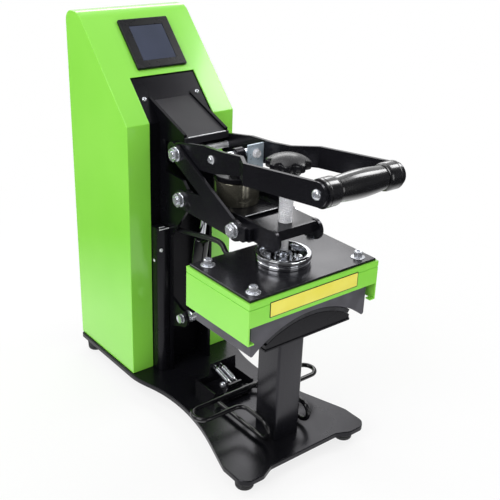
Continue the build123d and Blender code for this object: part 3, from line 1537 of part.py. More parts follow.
with BuildPart() as bracket:
    with BuildSketch(Plane.XY.offset(base_top)):
        with Locations((0, (bracket_front_y + bracket_rear_y) / 2)):
            Rectangle(2 * bracket_half_x, bracket_rear_y - bracket_front_y)
        for bolt_y in bracket_bolt_ys:
            with Locations((0, bolt_y)):
                Circle(screw_r + 0.1, mode=Mode.SUBTRACT)
    extrude(amount=bracket_t)
    with BuildSketch(Plane.XZ.offset(-bracket_rear_y)):
        with BuildLine():
            Polyline(
                (-bracket_half_x, base_top),
                (-bracket_half_x, bracket_wall_z),
                (hook_tab_x - 2, bracket_wall_z),
                (hook_tab_x, hook_tab_z),
                (bracket_half_x - 1, hook_tab_z),
                (bracket_half_x, bracket_wall_z),
                (bracket_half_x, base_top),
                close=True,
            )
        make_face()
        with Locations((-spring_x, hook_tab_z - hook_hole_drop), (spring_x, hook_tab_z - hook_hole_drop)):
            Circle(spring_hole_r, mode=Mode.SUBTRACT)
    extrude(amount=bracket_wall)
    for wall_x in (-bracket_half_x, bracket_half_x - bracket_wall):
        with BuildSketch(Plane.YZ.offset(wall_x)):
            with BuildLine():
                Polyline(
                    (bracket_rear_y, base_top),
                    (bracket_rear_y, bracket_wall_z),
                    (bracket_wall_front_y, bracket_wall_z),
                    (bracket_wall_front_y, bracket_wall_z - 4),
                    (bracket_front_y, base_top),
                    close=True,
                )
            make_face()
        extrude(amount=bracket_wall)
    for s in (-1, 1):
        with BuildSketch(Plane.YZ.offset(s * 16.2)) as ear:
            with Locations((leg_rear_y, leg_z)):
                Circle(wire_r + 3)
            with BuildLine():
                Polyline(
                    (leg_rear_y - 4, base_top),
                    (leg_rear_y - 6, leg_z),
                    (leg_rear_y + 6, leg_z),
                    (leg_rear_y + 12, base_top + bracket_t),
                    (leg_rear_y + 12, base_top),
                    close=True,
                )
            make_face()
            with Locations((leg_rear_y, leg_z)):
                Circle(wire_r + bore_gap, mode=Mode.SUBTRACT)
            with Locations((leg_rear_y, base_top - 10)):
                Rectangle(60, 20, mode=Mode.SUBTRACT)
        extrude(amount=s * 3)
save(bracket.part, "hold_down_bracket")

with BuildPart() as base_bolts:
    with Locations((0, post_y, foot_h)):
        with GridLocations(post_bolt_x, post_bolt_x, 2, 2):
            Cylinder(screw_head_r, base_head_h, align=(Align.CENTER, Align.CENTER, Align.MAX))
            Cylinder(screw_r, plate_t + post_end_t, align=(Align.CENTER, Align.CENTER, Align.MIN))
    for bolt_y in bracket_bolt_ys:
        with Locations((0, bolt_y, base_top + bracket_t)):
            Cylinder(screw_head_r, base_head_h, align=(Align.CENTER, Align.CENTER, Align.MIN))
            Cylinder(screw_r, plate_t + bracket_t, align=(Align.CENTER, Align.CENTER, Align.MAX))
    with BuildSketch(Plane.XY.offset(foot_h - base_head_h)):
        with Locations((0, post_y)):
            with GridLocations(post_bolt_x, post_bolt_x, 2, 2):
                RegularPolygon(2.5, 6)
    extrude(amount=2.5, mode=Mode.SUBTRACT)
    with BuildSketch(Plane.XY.offset(base_top + bracket_t + base_head_h)):
        for bolt_y in bracket_bolt_ys:
            with Locations((0, bolt_y)):
                RegularPolygon(2.5, 6)
    extrude(amount=-2.5, mode=Mode.SUBTRACT)
save(base_bolts.part, "base_bolts")

spring_rear = (bracket_rear_y - bracket_wall / 2, hook_tab_z - hook_hole_drop)
spring_front = (leg_rear_y + lug_set, leg_z + lug_hole_rise)
spring_y_run = spring_rear[0] - spring_front[0]
spring_z_run = spring_rear[1] - spring_front[1]
spring_len = math.hypot(spring_y_run, spring_z_run)
spring_dir = (0, spring_y_run / spring_len, spring_z_run / spring_len)
with BuildPart() as springs:
    for s in (-1, 1):
        spring_plane = Plane(
            origin=(s * spring_x, spring_front[0], spring_front[1]), x_dir=(1, 0, 0), z_dir=spring_dir
        )
        with BuildSketch(spring_plane.offset(10)):
            Circle(spring_r)
        extrude(amount=spring_len - 20)
        with BuildSketch(spring_plane.offset(hook_gap)):
            Circle(spring_wire_r)
        extrude(amount=spring_len - 2 * hook_gap)
save(springs.part, "hold_down_springs")
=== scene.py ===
import json
import math

import bmesh
import bpy
import numpy as np
from mathutils import Matrix


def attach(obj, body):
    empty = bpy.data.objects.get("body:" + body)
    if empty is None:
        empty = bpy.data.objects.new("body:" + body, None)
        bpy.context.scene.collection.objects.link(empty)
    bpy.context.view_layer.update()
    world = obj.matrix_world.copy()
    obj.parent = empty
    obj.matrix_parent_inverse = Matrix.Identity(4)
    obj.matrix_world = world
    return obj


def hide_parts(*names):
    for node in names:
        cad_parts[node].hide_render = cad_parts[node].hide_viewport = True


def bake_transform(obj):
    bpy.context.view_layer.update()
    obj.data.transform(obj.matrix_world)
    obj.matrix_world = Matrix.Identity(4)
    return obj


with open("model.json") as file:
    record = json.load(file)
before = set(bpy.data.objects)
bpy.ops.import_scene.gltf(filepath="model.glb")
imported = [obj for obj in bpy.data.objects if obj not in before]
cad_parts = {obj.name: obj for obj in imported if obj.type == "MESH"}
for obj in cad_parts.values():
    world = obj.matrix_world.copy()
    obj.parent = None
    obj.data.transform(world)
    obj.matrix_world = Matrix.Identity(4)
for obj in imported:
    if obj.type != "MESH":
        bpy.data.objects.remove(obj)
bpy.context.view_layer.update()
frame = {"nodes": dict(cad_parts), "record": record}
body_of = {name: body for body, names in frame["record"]["behaviour"]["bodies"].items() for name in names}

# Lengths are written in millimetres and turned to metres where a mesh is made.
MM = 0.001

# ---------------------------------------------------------------------
# camera
# ---------------------------------------------------------------------
eye = np.array((-0.57105, -0.74317, 0.64614))
right = np.array((0.78514, -0.61853, 0.03139))
up = np.array((0.23586, 0.34549, 0.90830))
ahead = np.array((0.57265, 0.70573, -0.41715))
lens = bpy.data.cameras.new("camera")
lens.sensor_width = 36
lens.lens = 60.336
lens.shift_x = 0.0142
lens.shift_y = 0.0068
lens.clip_end = 20
camera = bpy.data.objects.new("camera", lens)
turn = np.eye(4)
turn[:3, 0], turn[:3, 1], turn[:3, 2], turn[:3, 3] = right, up, -ahead, eye
camera.matrix_world = Matrix(turn.tolist())
bpy.context.scene.collection.objects.link(camera)
bpy.context.scene.camera = camera
bpy.context.scene.view_settings.view_transform = "Standard"


# ---------------------------------------------------------------------
# materials
# ---------------------------------------------------------------------
def linear(code):
    """A colour written as sRGB hex, turned to linear light."""
    parts = np.array([int(code[i:i + 2], 16) for i in (1, 3, 5)]) / 255
    light = np.where(parts <= 0.04045, parts / 12.92, ((parts + 0.055) / 1.055) ** 2.4)
    return (*light.tolist(), 1.0)


def node(tree, kind, sockets=None, **settings):
    """Adds one node: settings are its properties, sockets its inputs, each a value or the output
    that feeds it."""
    made = tree.nodes.new("ShaderNode" + kind)
    for key, value in settings.items():
        setattr(made, key, value)
    for key, value in (sockets or {}).items():
        if isinstance(value, bpy.types.NodeSocket):
            tree.links.new(value, made.inputs[key])
        else:
            made.inputs[key].default_value = value
    return made


def finish(name, dark, light, patch, rough, grain, depth, stretch=(1, 1, 1), **sockets):
    """A finish whose colour drifts from dark to light over patches, whose roughness drifts between two
    values, and whose grain stands up by depth, all sizes in mm. A stretch below 1 draws the grain out
    along that axis, and one above 1 packs it into rings."""
    material = bpy.data.materials.new(name)
    material.use_nodes = True
    tree = material.node_tree
    tree.nodes.clear()
    place = node(tree, "TexCoord").outputs["Object"]
    drawn = node(tree, "Mapping", {"Vector": place, "Scale": stretch}).outputs[0]
    drift = node(tree, "TexNoise", {"Vector": place, "Scale": 1000 / patch, "Detail": 2.0}).outputs["Fac"]
    tone = node(tree, "MapRange", {"Value": drift, "From Min": 0.35, "From Max": 0.65}).outputs[0]
    colour = node(tree, "Mix", {0: tone, 6: linear(dark), 7: linear(light)}, data_type="RGBA").outputs[2]
    smear = node(tree, "TexNoise", {"Vector": drawn, "Scale": 2300 / patch, "Detail": 3.0}).outputs["Fac"]
    gloss = node(
        tree, "MapRange",
        {"Value": smear, "From Min": 0.3, "From Max": 0.7, "To Min": rough[0], "To Max": rough[1]},
    ).outputs[0]
    grit = node(tree, "TexNoise", {"Vector": drawn, "Scale": 1000 / grain, "Detail": 3.0}).outputs["Fac"]
    relief = node(tree, "Bump", {"Height": grit, "Distance": depth * MM, "Strength": 1.0}).outputs[0]
    surface = {"Base Color": colour, "Roughness": gloss, "Normal": relief, **sockets}
    shader = node(tree, "BsdfPrincipled", surface)
    node(tree, "OutputMaterial", {"Surface": shader.outputs[0]})
    return material


# Polyester powder coat, lime, sprayed and baked: glossy, with a faint orange peel about 3 mm across.
lime_powder = finish(
    "lime_powder_coat", "#8BDE49", "#93E352", 160, (0.14, 0.19), 3.0, 0.006,
    **{"Coat Weight": 0.3, "Coat Roughness": 0.06},
)
# Black powder coat: a finer peel, a deep black that picks up grey from what it faces.
black_powder = finish(
    "black_powder_coat", "#0B0B0E", "#0F0F13", 120, (0.22, 0.3), 1.8, 0.006,
    **{"Specular IOR Level": 0.3, "Specular Tint": linear("#F2F0FA")},
)
# The same coat, made darker and less reflective where it lies deep between the lime flanks: painted shade for
# the shade that falls there, so it gives back little of them.
shaded_black_powder = finish(
    "black_powder_coat_painted_shade", "#0A0A0D", "#0D0D11", 120, (0.2, 0.28), 1.8, 0.006,
    **{"Specular IOR Level": 0.14, "Specular Tint": linear("#F2F0FA")},
)
# The same coat, a little glossier and painted a touch lighter and more reflective, on the arms, the handle,
# the platen's top and the post: painted light for the light these open parts catch.
lit_black_powder = finish(
    "black_gloss_powder_coat_painted_light", "#0F0F13", "#141418", 120, (0.2, 0.27), 1.8, 0.006,
    **{"Specular Tint": linear("#F2F0FA")},
)
# Satin coat on the folded cover between the side plates, a little more matt, and painted paler: painted light
# for the grey sheen it takes from the light above.
cover_painted_light_powder = finish(
    "black_satin_coat_painted_light", "#222126", "#28272C", 90, (0.38, 0.46), 1.2, 0.006, **{"Specular IOR Level": 0.3}
)
# Bright zinc plate on bolts, washers and pins: cool grey with cloudy passivation.
zinc = finish("bright_zinc_plate", "#CDD0D7", "#E3E5EA", 14, (0.14, 0.22), 1.6, 0.002, Metallic=0.75)
# Blue passivated zinc on the pressed bracket.
blue_zinc = finish("blue_zinc_plate", "#A9BAC6", "#C0CFDA", 12, (0.25, 0.35), 1.2, 0.003, Metallic=0.35)
# Chromed steel: near mirror, with the light lines left by turning.
chrome = finish("chrome_plate", "#D9DBE0", "#E9EBEF", 30, (0.05, 0.1), 0.5, 0.0012, (1, 1, 6), Metallic=1.0)
# Black nickel on the magnet's turned shell: olive grey, its grain drawn upright.
nickel = finish(
    "black_nickel_plate", "#75736A", "#8D8A7C", 60, (0.14, 0.26), 3.4, 0.03, (1, 1, 0.03), Metallic=0.9,
)
# Bare bright steel of clips, threads and small screws, painted near white and little metallic so that it
# stays bright in shade, partly painted highlight; it also colours the thin rods that are painted highlights
# along edges.
bright_steel_and_painted_highlight = finish("bright_steel_and_painted_highlight", "#E2E3E7", "#F4F4F7", 10, (0.2, 0.3), 1.0, 0.002, Metallic=0.25)
# Ground steel of the gas rod.
ground_steel = finish(
    "ground_steel", "#B4B7BC", "#CDD0D5", 12, (0.12, 0.2), 0.8, 0.0015, (4, 4, 1), Metallic=1.0,
)
# Moulded nitrile rubber on the feet: dull, with a fine skin.
rubber = finish("nitrile_rubber", "#131316", "#1D1D20", 14, (0.55, 0.75), 0.8, 0.03)
# Glossy PVC sleeve of the grip.
grip_vinyl = finish(
    "glossy_vinyl", "#0C0C10", "#131318", 30, (0.2, 0.28), 3.0, 0.002,
    **{"Coat Weight": 1.0, "Coat Roughness": 0.14},
)
# Black enamel on the bail wire: wet looking, with bright lines along it.
wire_enamel = finish("black_wire_enamel", "#09090B", "#0F0F12", 20, (0.1, 0.16), 2.0, 0.003)
# Glass filled nylon of the star knob: satin with a leathery mould skin.
nylon = finish("filled_nylon", "#111115", "#17171B", 12, (0.22, 0.3), 0.9, 0.006)
# Cast aluminium heater with a baked non-stick coat: dark grey, fine even grit.
baked_coat = finish("nonstick_coated_aluminium", "#48474E", "#55545C", 20, (0.4, 0.5), 0.7, 0.02)
# Silicone foam sheet over the saddle: dark, matt, with open pores near 1 mm.
silicone = finish("silicone_foam_sheet", "#26262A", "#313136", 10, (0.6, 0.8), 1.1, 0.1)
# Ceramic fibre board behind the heater: pale and loose fibred.
fibre = finish("ceramic_fibre_board", "#B9B3A3", "#D6D0BF", 6, (0.9, 1.0), 0.9, 0.2, (1, 1, 4))
# Black ABS of bezel, sockets and rocker.
abs_black = finish(
    "black_abs", "#0D0E12", "#131418", 40, (0.24, 0.32), 0.6, 0.006, **{"Specular IOR Level": 0.22},
)
# Cover glass of the dark display: slate blue, smooth.
display = finish("display_glass", "#333A4D", "#3A4156", 60, (0.05, 0.09), 8.0, 0.001, **{"Coat Weight": 0.4})
# Yellow printed vinyl and its black edge line.
label_yellow = finish("yellow_vinyl_label", "#F0E552", "#F5EC66", 30, (0.3, 0.4), 1.4, 0.006)
label_black = finish("black_vinyl_edge", "#15140F", "#1E1D15", 10, (0.35, 0.45), 1.4, 0.006)
# White film label under clear film on the gas cylinder.
paper_white = finish("white_film_label", "#DCDDDB", "#EBECEA", 8, (0.25, 0.35), 1.5, 0.006)
# Silicone sleeve of the heater lead: braided glass under black varnish.
sleeve = finish("varnished_glass_sleeve", "#111114", "#1E1E22", 1.6, (0.3, 0.5), 0.9, 0.1)
# Zinc plated spring wire.
spring_wire = finish("zinc_plated_wire", "#B7BABF", "#DADCE0", 3, (0.14, 0.26), 0.6, 0.003, Metallic=1.0)


# ---------------------------------------------------------------------
# shapes worked out with numpy, in millimetres
# ---------------------------------------------------------------------
def unit(vectors):
    """Each vector divided by its length."""
    return vectors / np.linalg.norm(vectors, axis=-1, keepdims=True)


def angles(steps):
    """Directions round a ring, in equal steps from zero."""
    return np.arange(steps) * 2 * math.pi / steps


def square_to(axis):
    """The unit axis and two unit directions square to it and to each other."""
    axis = unit(np.asarray(axis, float))
    aside = np.array((0.0, 0.0, 1.0)) if abs(axis[2]) < 0.9 else np.array((0.0, -1.0, 0.0))
    first = unit(np.cross(aside, axis))
    return axis, first, np.cross(axis, first)


def skin(rings, slot=0):
    """Faces over rows of rings: each point joins its neighbour in its ring and in the next one,
    and a flat face covers the first ring and the last."""
    rows, cols = rings.shape[:2]
    index = np.arange(rows * cols).reshape(rows, cols)
    beside = np.roll(index, -1, axis=1)
    quads = np.stack((index[:-1], beside[:-1], beside[1:], index[1:]), axis=-1).reshape(-1, 4)
    return rings.reshape(-1, 3), [quads, index[:1, ::-1], index[-1:]], slot


def turned(profile, origin, axis, steps=48, slot=0):
    """Turned shape: each (distance, radius) of the profile is a ring square to the axis,
    and a radius may be an array that changes with the angle."""
    axis, first, second = square_to(axis)
    angle = angles(steps)
    rim = np.cos(angle)[:, None] * first + np.sin(angle)[:, None] * second
    along = np.array([pair[0] for pair in profile], float)
    radius = np.stack([np.broadcast_to(np.asarray(pair[1], float), steps) for pair in profile])
    rings = np.asarray(origin, float) + along[:, None, None] * axis + radius[..., None] * rim
    return skin(rings, slot=slot)


def hexagon(across, steps, phase=0.0):
    """Radius of a hexagon at each angle: half its width across flats over the cosine of the angle
    from a flat's middle."""
    off = np.mod(angles(steps) + phase, math.pi / 3) - math.pi / 6
    return across / 2 / np.cos(off)


def tube(path, radius, aside, sides, slot=0):
    """Round bar: rings square to the path, set from one direction that the path never runs along."""
    way = np.vstack((path[1:2] - path[:1], path[2:] - path[:-2], path[-1:] - path[-2:-1]))
    across = unit(np.cross(unit(way), np.asarray(aside, float)))
    over = np.cross(across, unit(way))
    angle = angles(sides)[None, :, None]
    rim = np.cos(angle) * across[:, None] + np.sin(angle) * over[:, None]
    return skin(path[:, None] + radius * rim, slot=slot)


def bent(corners, radii, steps):
    """Path of straight runs and round bends: at each corner an arc starts radius times the tangent
    of half the turn before it and swings evenly about its centre."""
    corners = np.asarray(corners, float)
    here = corners[1:-1]
    come, go = unit(here - corners[:-2]), unit(corners[2:] - here)
    angle = np.arccos(np.clip(np.sum(come * go, axis=1), -1, 1))
    radii = np.broadcast_to(np.asarray(radii, float), angle.shape)
    setback = (radii * np.tan(angle / 2))[:, None]
    centre = here + unit(go - come) * (radii / np.cos(angle / 2))[:, None]
    first, last = here - come * setback - centre, here + go * setback - centre
    share, swing = np.linspace(0, 1, steps)[None, :, None], angle[:, None, None]
    arcs = np.sin((1 - share) * swing) * first[:, None] + np.sin(share * swing) * last[:, None]
    arcs = centre[:, None] + arcs / np.sin(swing)
    return np.vstack((corners[:1], arcs.reshape(-1, 3), corners[-1:]))


def make(name, skins, body, materials, bevel=0.0, replaces=(), keep=30):
    """One finished piece from its skins: points merged where they meet, faces turned outwards, edges
    over the angle kept crisp or rounded by the bevel."""
    points, faces, slots, start = [], [], [], 0
    for spots, blocks, slot in skins:
        points.append(spots)
        for block in blocks:
            faces.extend((block + start).tolist())
            slots.extend([slot] * len(block))
        start += len(spots)
    mesh = bpy.data.meshes.new(name)
    mesh.from_pydata((np.vstack(points) * MM).tolist(), [], faces)
    mesh.polygons.foreach_set("material_index", slots)
    shape = bmesh.new()
    shape.from_mesh(mesh)
    bmesh.ops.remove_doubles(shape, verts=shape.verts, dist=2e-6)
    bmesh.ops.dissolve_degenerate(shape, edges=shape.edges, dist=1e-6)
    bmesh.ops.recalc_face_normals(shape, faces=shape.faces)
    return place(name, shape, mesh, body, materials, bevel, replaces, keep)


def place(name, shape, mesh, body, materials, bevel, replaces, keep=30):
    """Puts the edited shape in its mesh and the piece on its body, with its edges rounded."""
    shape.to_mesh(mesh)
    shape.free()
    mesh.shade_smooth()
    mesh.set_sharp_from_angle(angle=math.radians(keep))
    for material in materials:
        mesh.materials.append(material)
    piece = bpy.data.objects.new(name, mesh)
    bpy.context.scene.collection.objects.link(piece)
    if bevel:
        round_off = piece.modifiers.new("rounded edges", "BEVEL")
        round_off.width = bevel * MM
        round_off.segments = 2
        round_off.limit_method = "ANGLE"
        round_off.angle_limit = math.radians(keep)
        round_off.use_clamp_overlap = True
        round_off.harden_normals = True
    if body:
        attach(piece, body)
    if replaces:
        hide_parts(*replaces)
    return piece


def dress(name, material, bevel):
    """Copy of a CAD node with its doubles merged, its flat faces joined and its edges rounded,
    standing for it."""
    mesh = frame["nodes"][name].data.copy()
    shape = bmesh.new()
    shape.from_mesh(mesh)
    bmesh.ops.remove_doubles(shape, verts=shape.verts, dist=1e-6)
    bmesh.ops.dissolve_limit(shape, angle_limit=math.radians(1), verts=shape.verts, edges=shape.edges)
    bare = bpy.data.meshes.new(name + "_finished")
    place(name + "_finished", shape, bare, body_of[name], [material], bevel, [name])
    normals = bare.attributes.get("custom_normal")
    if normals:
        bare.attributes.remove(normals)
    bpy.data.meshes.remove(mesh)


# ---------------------------------------------------------------------
# folded and cut plates
# ---------------------------------------------------------------------
dress("case_shell", lime_powder, 1.6)
dress("platen_cover", lime_powder, 0.6)
dress("base_plate", black_powder, 0.7)
for name in ("frame_plate_left", "frame_plate_right"):
    dress(name, shaded_black_powder, 0.7)
for name in ("arm_plate_left", "arm_plate_right", "handle_plate_left", "handle_plate_right"):
    dress(name, lit_black_powder, 0.9)
for name in ("channel_panel", "back_panel"):
    dress(name, shaded_black_powder, 0.4)
for name in ("saddle_post", "arm_tie_blocks", "head_channel"):
    dress(name, lit_black_powder, 0.5)
dress("side_box", black_powder, 0.8)
dress("frame_cover", cover_painted_light_powder, 0.4)
dress("platen_top_plate", lit_black_powder, 0.4)
dress("saddle", black_powder, 0.5)
dress("hold_down_bracket", black_powder, 0.35)
dress("hold_down_lug", black_powder, 0.3)
dress("heat_block", baked_coat, 0.5)
dress("insulation", fibre, 0.5)
dress("magnet_carrier", black_powder, 0.4)
dress("magnet_plate", black_powder, 0.3)
dress("armature", black_powder, 0.4)
dress("armature_bracket", blue_zinc, 0.4)
dress("toggle_link", black_powder, 0.4)
dress("screen_bezel", abs_black, 0.3)
dress("screen_glass", display, 0.1)
dress("power_inlet", abs_black, 0.3)
dress("switch_housing", abs_black, 0.3)
dress("switch_rocker", abs_black, 0.3)

# ---------------------------------------------------------------------
# feet
# ---------------------------------------------------------------------
foot = [
    (5.0, 0), (5.0, 3.2), (0.5, 3.6), (0, 4.4), (0, 9.4), (0.4, 10.3), (1.4, 10.9), (4.6, 11.2), (5.2, 10.7),
    (5.9, 11.3), (14.4, 11.9), (15.6, 12.0), (17.0, 12.0), (18.0, 11.3), (18.0, 0),
]
foot_spots = [(79, -154, 0), (-79, -154, 0), (66, 214, 0), (-66, 214, 0)]
make(
    "rubber_feet", [turned(foot, spot, (0, 0, 1)) for spot in foot_spots], "frame", [rubber],
    replaces=["base_feet"],
)


# ---------------------------------------------------------------------
# bolts, nuts, washers and pins
# ---------------------------------------------------------------------
def hex_profile(start, across, height, dish=0.0):
    """Hexagon head: its six corners are cut back by a cone at each end, and its face may be dished."""
    full = hexagon(across, 48, 0.3)
    cut = np.minimum(full, across / 2 + 0.25)
    return [
        (start, cut), (start + 0.35, np.minimum(full, across / 2 + 0.85)), (start + height - 0.6, full),
        (start + height - 0.25, np.minimum(full, across / 2 + 0.75)),
        (start + height, np.minimum(full, across / 2 + 0.1)),
        (start + height - dish, across / 2 - 1.0), (start + height - dish, 0),
    ]


def washer_profile(start, thick, outer, inner):
    """Flat washer with its punched edge rounded over."""
    return [
        (start, inner), (start, outer - 0.3), (start + 0.3, outer), (start + thick - 0.35, outer),
        (start + thick, outer - 0.4), (start + thick, inner),
    ]


WASHER = 1.4


def bolt_head(seat, across, height, washer, shaft):
    """Washer and hexagon head along the bolt, the outward end of it."""
    head = hex_profile(seat + WASHER, across, height, dish=0.3)
    return washer_profile(seat, WASHER, washer, shaft) + head


def nut_end(seat, across, height, washer, shaft, proud):
    """Washer, nut and the threaded end that stands proud of it by the last figure."""
    end = seat + WASHER + height
    nut = hex_profile(seat + WASHER, across, height)[:5]
    return washer_profile(seat, WASHER, washer, shaft) + nut + [
        (end - 0.3, shaft + 0.5), (end - 0.3, shaft), (end + proud - 0.6, shaft - 0.1),
        (end + proud, shaft - 0.9), (end + proud, 0),
    ]


pivots = []
for side in (-1, 1):
    way = (side, 0, 0)
    shoulder = [(27, 0), (27, 5), (32.1, 5), (32.1, 8.5), (38, 8.5), (38, 5), (42.1, 5)]
    ending = nut_end(42.1, 15, 4.4, 9, 5, 1.5) if side < 0 else bolt_head(42.1, 15, 6, 9, 5)
    pivots.append(turned(shoulder + ending, (0, 31, 285), way))
make("arm_pivot_hardware", pivots, "frame", [zinc], replaces=["arm_pivot_bolts"])

# A rod of bright steel, grooved at its middle, joins the two bolts of the handle's pivot.
pivot_rod = [
    (-32.5, 0), (-32.5, 4), (-1, 4), (-0.7, 3.6), (0.7, 3.6), (1, 4), (32.5, 4), (32.5, 0),
]
head_bolts = [turned(pivot_rod, (0, 40, 339), (1, 0, 0), slot=1)]
for side in (-1, 1):
    way = (side, 0, 0)
    for y, z, first in ((-73, 282, 28.5), (40, 339, 32.4)):
        ending = nut_end(42, 15, 4.4, 9, 5, 1.5) if side < 0 else bolt_head(42, 15, 6, 9, 5)
        head_bolts.append(turned([(first, 0), (first, 5), (42, 5)] + ending, (0, y, z), way))
make("arm_hardware", head_bolts, "press_arm", [zinc, bright_steel_and_painted_highlight], replaces=["arm_bolts"])

gas_pin_spot = (0, 42, 115)
gas_bolt = [(-32, 0), (-32, 4), (-6.3, 4), (-6.3, 0)]
gas_hex = [(32, 0)] + washer_profile(32, 0.8, 6.4, 4) + hex_profile(32.8, 10.7, 3.7, dish=0.3)
gas_nut = [(6.3, 0), (6.3, 3.2), (6.9, 4)] + hex_profile(6.6, 10.7, 4.2)[:5] + [(10.8, 4)]
gas_spacer = [(21.2, 4), (21.2, 5.7), (21.5, 6), (27.7, 6), (28, 5.7), (28, 4)]
gas_pin = [turned(gas_bolt, gas_pin_spot, (1, 0, 0), 32)]
gas_pin += [turned(part, gas_pin_spot, (-1, 0, 0)) for part in (gas_hex, gas_nut, gas_spacer)]
anchor_pin = [(-32.1, 0), (-32.1, 3.6), (-31.7, 4), (31.7, 4), (32.1, 3.6), (32.1, 0)]
anchor = turned(anchor_pin, (0, 83, 342), (1, 0, 0), 32, slot=1)
make("frame_pin_hardware", gas_pin + [anchor], "frame", [zinc, black_powder], replaces=["frame_pins"])


def pin_profile(half, radius, chamfer=0.8):
    """Plain pin along its axis, chamfered at both ends."""
    return [
        (-half, 0), (-half, radius - chamfer), (-half + chamfer, radius), (half - chamfer, radius),
        (half, radius - chamfer), (half, 0),
    ]


cross_pin_spot = (0, 14.5, 281)
make(
    "cross_pin", [turned(pin_profile(42.2, 5, 0.5), cross_pin_spot, (1, 0, 0))], "press_arm",
    [black_powder], replaces=["arm_cross_pin"],
)
make(
    "crank_pin_turned", [turned(pin_profile(37, 4), (0, 55.96, 340.11), (1, 0, 0))], "handle", [black_powder],
    replaces=["crank_pin"],
)
armature_y, armature_z = -24, 349
groove = [
    (-40.5, 0), (-40.5, 3.0), (-39.8, 3.6), (-38.6, 3.6), (-38.6, 3.1), (-37.2, 3.1), (-37.2, 5),
    (37.2, 5), (37.2, 3.1), (38.6, 3.1), (38.6, 3.6), (39.8, 3.6), (40.5, 3.0), (40.5, 0),
]
# An open spring ring sits in each groove.
arc = np.radians(np.linspace(-55, 235, 40))
clips = []
for side in (-1, 1):
    ring = (
        np.full(len(arc), side * 37.9), armature_y + 4.3 * np.cos(arc), armature_z + 4.3 * np.sin(arc),
    )
    clips.append(tube(np.stack(ring, axis=1), 0.8, (1, 0, 0), 8, slot=1))
make(
    "armature_pin_turned", [turned(groove, (0, armature_y, armature_z), (1, 0, 0))] + clips,
    "handle", [zinc, bright_steel_and_painted_highlight], replaces=["armature_pin"],
)


def cap_screw(seat, radius, height, shank, socket=4.4, deep=3.0):
    """Socket head cap screw above its seat, knurled round its head: shallow flutes, a broken rim
    and a hexagon socket."""
    flutes = radius - 0.16 * (1 + np.cos(24 * angles(96))) / 2
    well = hexagon(socket, 96)
    return [
        (seat - shank, 0), (seat - shank, 2.5), (seat, 2.5), (seat, radius - 0.3), (seat + 0.3, flutes),
        (seat + height - 1.3, flutes), (seat + height - 1.2, radius - 0.25),
        (seat + height - 0.5, radius - 0.3), (seat + height, radius - 0.9), (seat + height, well),
        (seat + height - deep, well), (seat + height - deep, 0),
    ]


spindle_y = -111
caps = []
dished_washer = [(0, 2.6), (0, 8.2), (0.25, 8.3), (0.6, 8.2), (1.0, 7.2), (1.2, 6.2), (1.2, 2.6)]
for x in (-76.5, 76.5):
    for y in (-152.8, -73.2):
        spot = (x, y, 249)
        caps.append(turned(dished_washer, spot, (0, 0, 1), 64))
        caps.append(turned(cap_screw(1.2, 4.9, 6.4, 4.2), spot, (0, 0, 1), 96))
flange_spots = [
    (18 * math.cos(a), spindle_y + 18 * math.sin(a), 252) for a in angles(4) + math.pi / 4
]
caps += [turned(cap_screw(0, 3.9, 4.6, 3.0, 3.2), spot, (0, 0, 1), 96) for spot in flange_spots]
make("platen_cap_screws", caps, "platen", [zinc], replaces=["platen_screws"])


def button_head(height, radius, shank, socket=2.6):
    """Button head screw: a low dome with a hexagon socket."""
    well = hexagon(socket, 48)
    return [
        (-shank, 0), (-shank, 2.4), (0, 2.4), (0, radius), (height * 0.3, radius * 0.985),
        (height * 0.62, radius * 0.86), (height * 0.87, radius * 0.64), (height, radius * 0.42),
        (height, well), (height - 1.4, well), (height - 1.4, 0),
    ]


floor_screws = [turned(button_head(4, 4.3, 8.6), (0, y, 27), (0, 0, 1)) for y in (-7, -22)]
floor_screws += [
    turned(cap_screw(0, 4.3, 4, 11.6, deep=2.4), (x, y, 18), (0, 0, -1), 96)
    for x in (-9, 9) for y in (-125, -107)
]
make("base_screws", floor_screws, "frame", [zinc], replaces=["base_bolts"])

slope = math.atan2(109, 117)
slope_out = (0, -math.cos(slope), math.sin(slope))
knee = 365 - 2.2 * math.tan(slope / 2)
panel_y = 88 + 2.2 + (388 - knee) * 109 / 117
make(
    "panel_button_screws",
    [turned(button_head(2.2, 3.2, 1.5, 2.0), (x, panel_y, 388), slope_out) for x in (-39, 39)],
    "frame", [zinc], replaces=["panel_screws"],
)

make(
    "side_box_screws", [turned(button_head(1.2, 1.9, 1.0, 1.2), spot, way, 48) for spot, way in (
        ((-44, 70, 204), (0, -1, 0)), ((-46.5, 83, 186), (-1, 0, 0)),
    )],
    "frame", [bright_steel_and_painted_highlight],
)

magnet_fixings = []
stud = [(0, 0), (0, 2.0), (0.6, 2.5), (4, 2.5)] + hex_profile(4, 8, 4)[:5]
stud += [(8, 2.5), (19.5, 2.5), (19.5, 0)]
for x in (-18, 18):
    for y in (-39, -7):
        magnet_fixings.append(turned(stud, (x, y, 277.5), (0, 0, 1)))
make("magnet_fixing_screws", magnet_fixings, "press_arm", [zinc], replaces=["magnet_screws"])

make(
    "bracket_hex_bolt",
    [turned(
        [(-2.5, 0), (-2.5, 2.5), (0, 2.5)] + washer_profile(0, 1.0, 5.5, 2.5)
        + hex_profile(1.0, 8, 3.6, dish=0.3), (20.6, -31.6, 349), (0, -1, 0),
    )],
    "handle", [bright_steel_and_painted_highlight], replaces=["bracket_bolt"],
)

# ---------------------------------------------------------------------
# electromagnet shell
# ---------------------------------------------------------------------
shell = [
    (293, 0), (293, 26.4), (293.6, 27), (319.6, 27), (320.6, 26.6), (321, 25.8), (321, 21.2),
    (320.1, 21), (320.1, 9.7), (321, 9.4), (321, 3.4), (319, 3.2), (319, 0),
]
make(
    "magnet_shell", [turned(shell, (0, -23, 0), (0, 0, 1), 72)], "press_arm", [nickel],
    replaces=["magnet_body"],
)
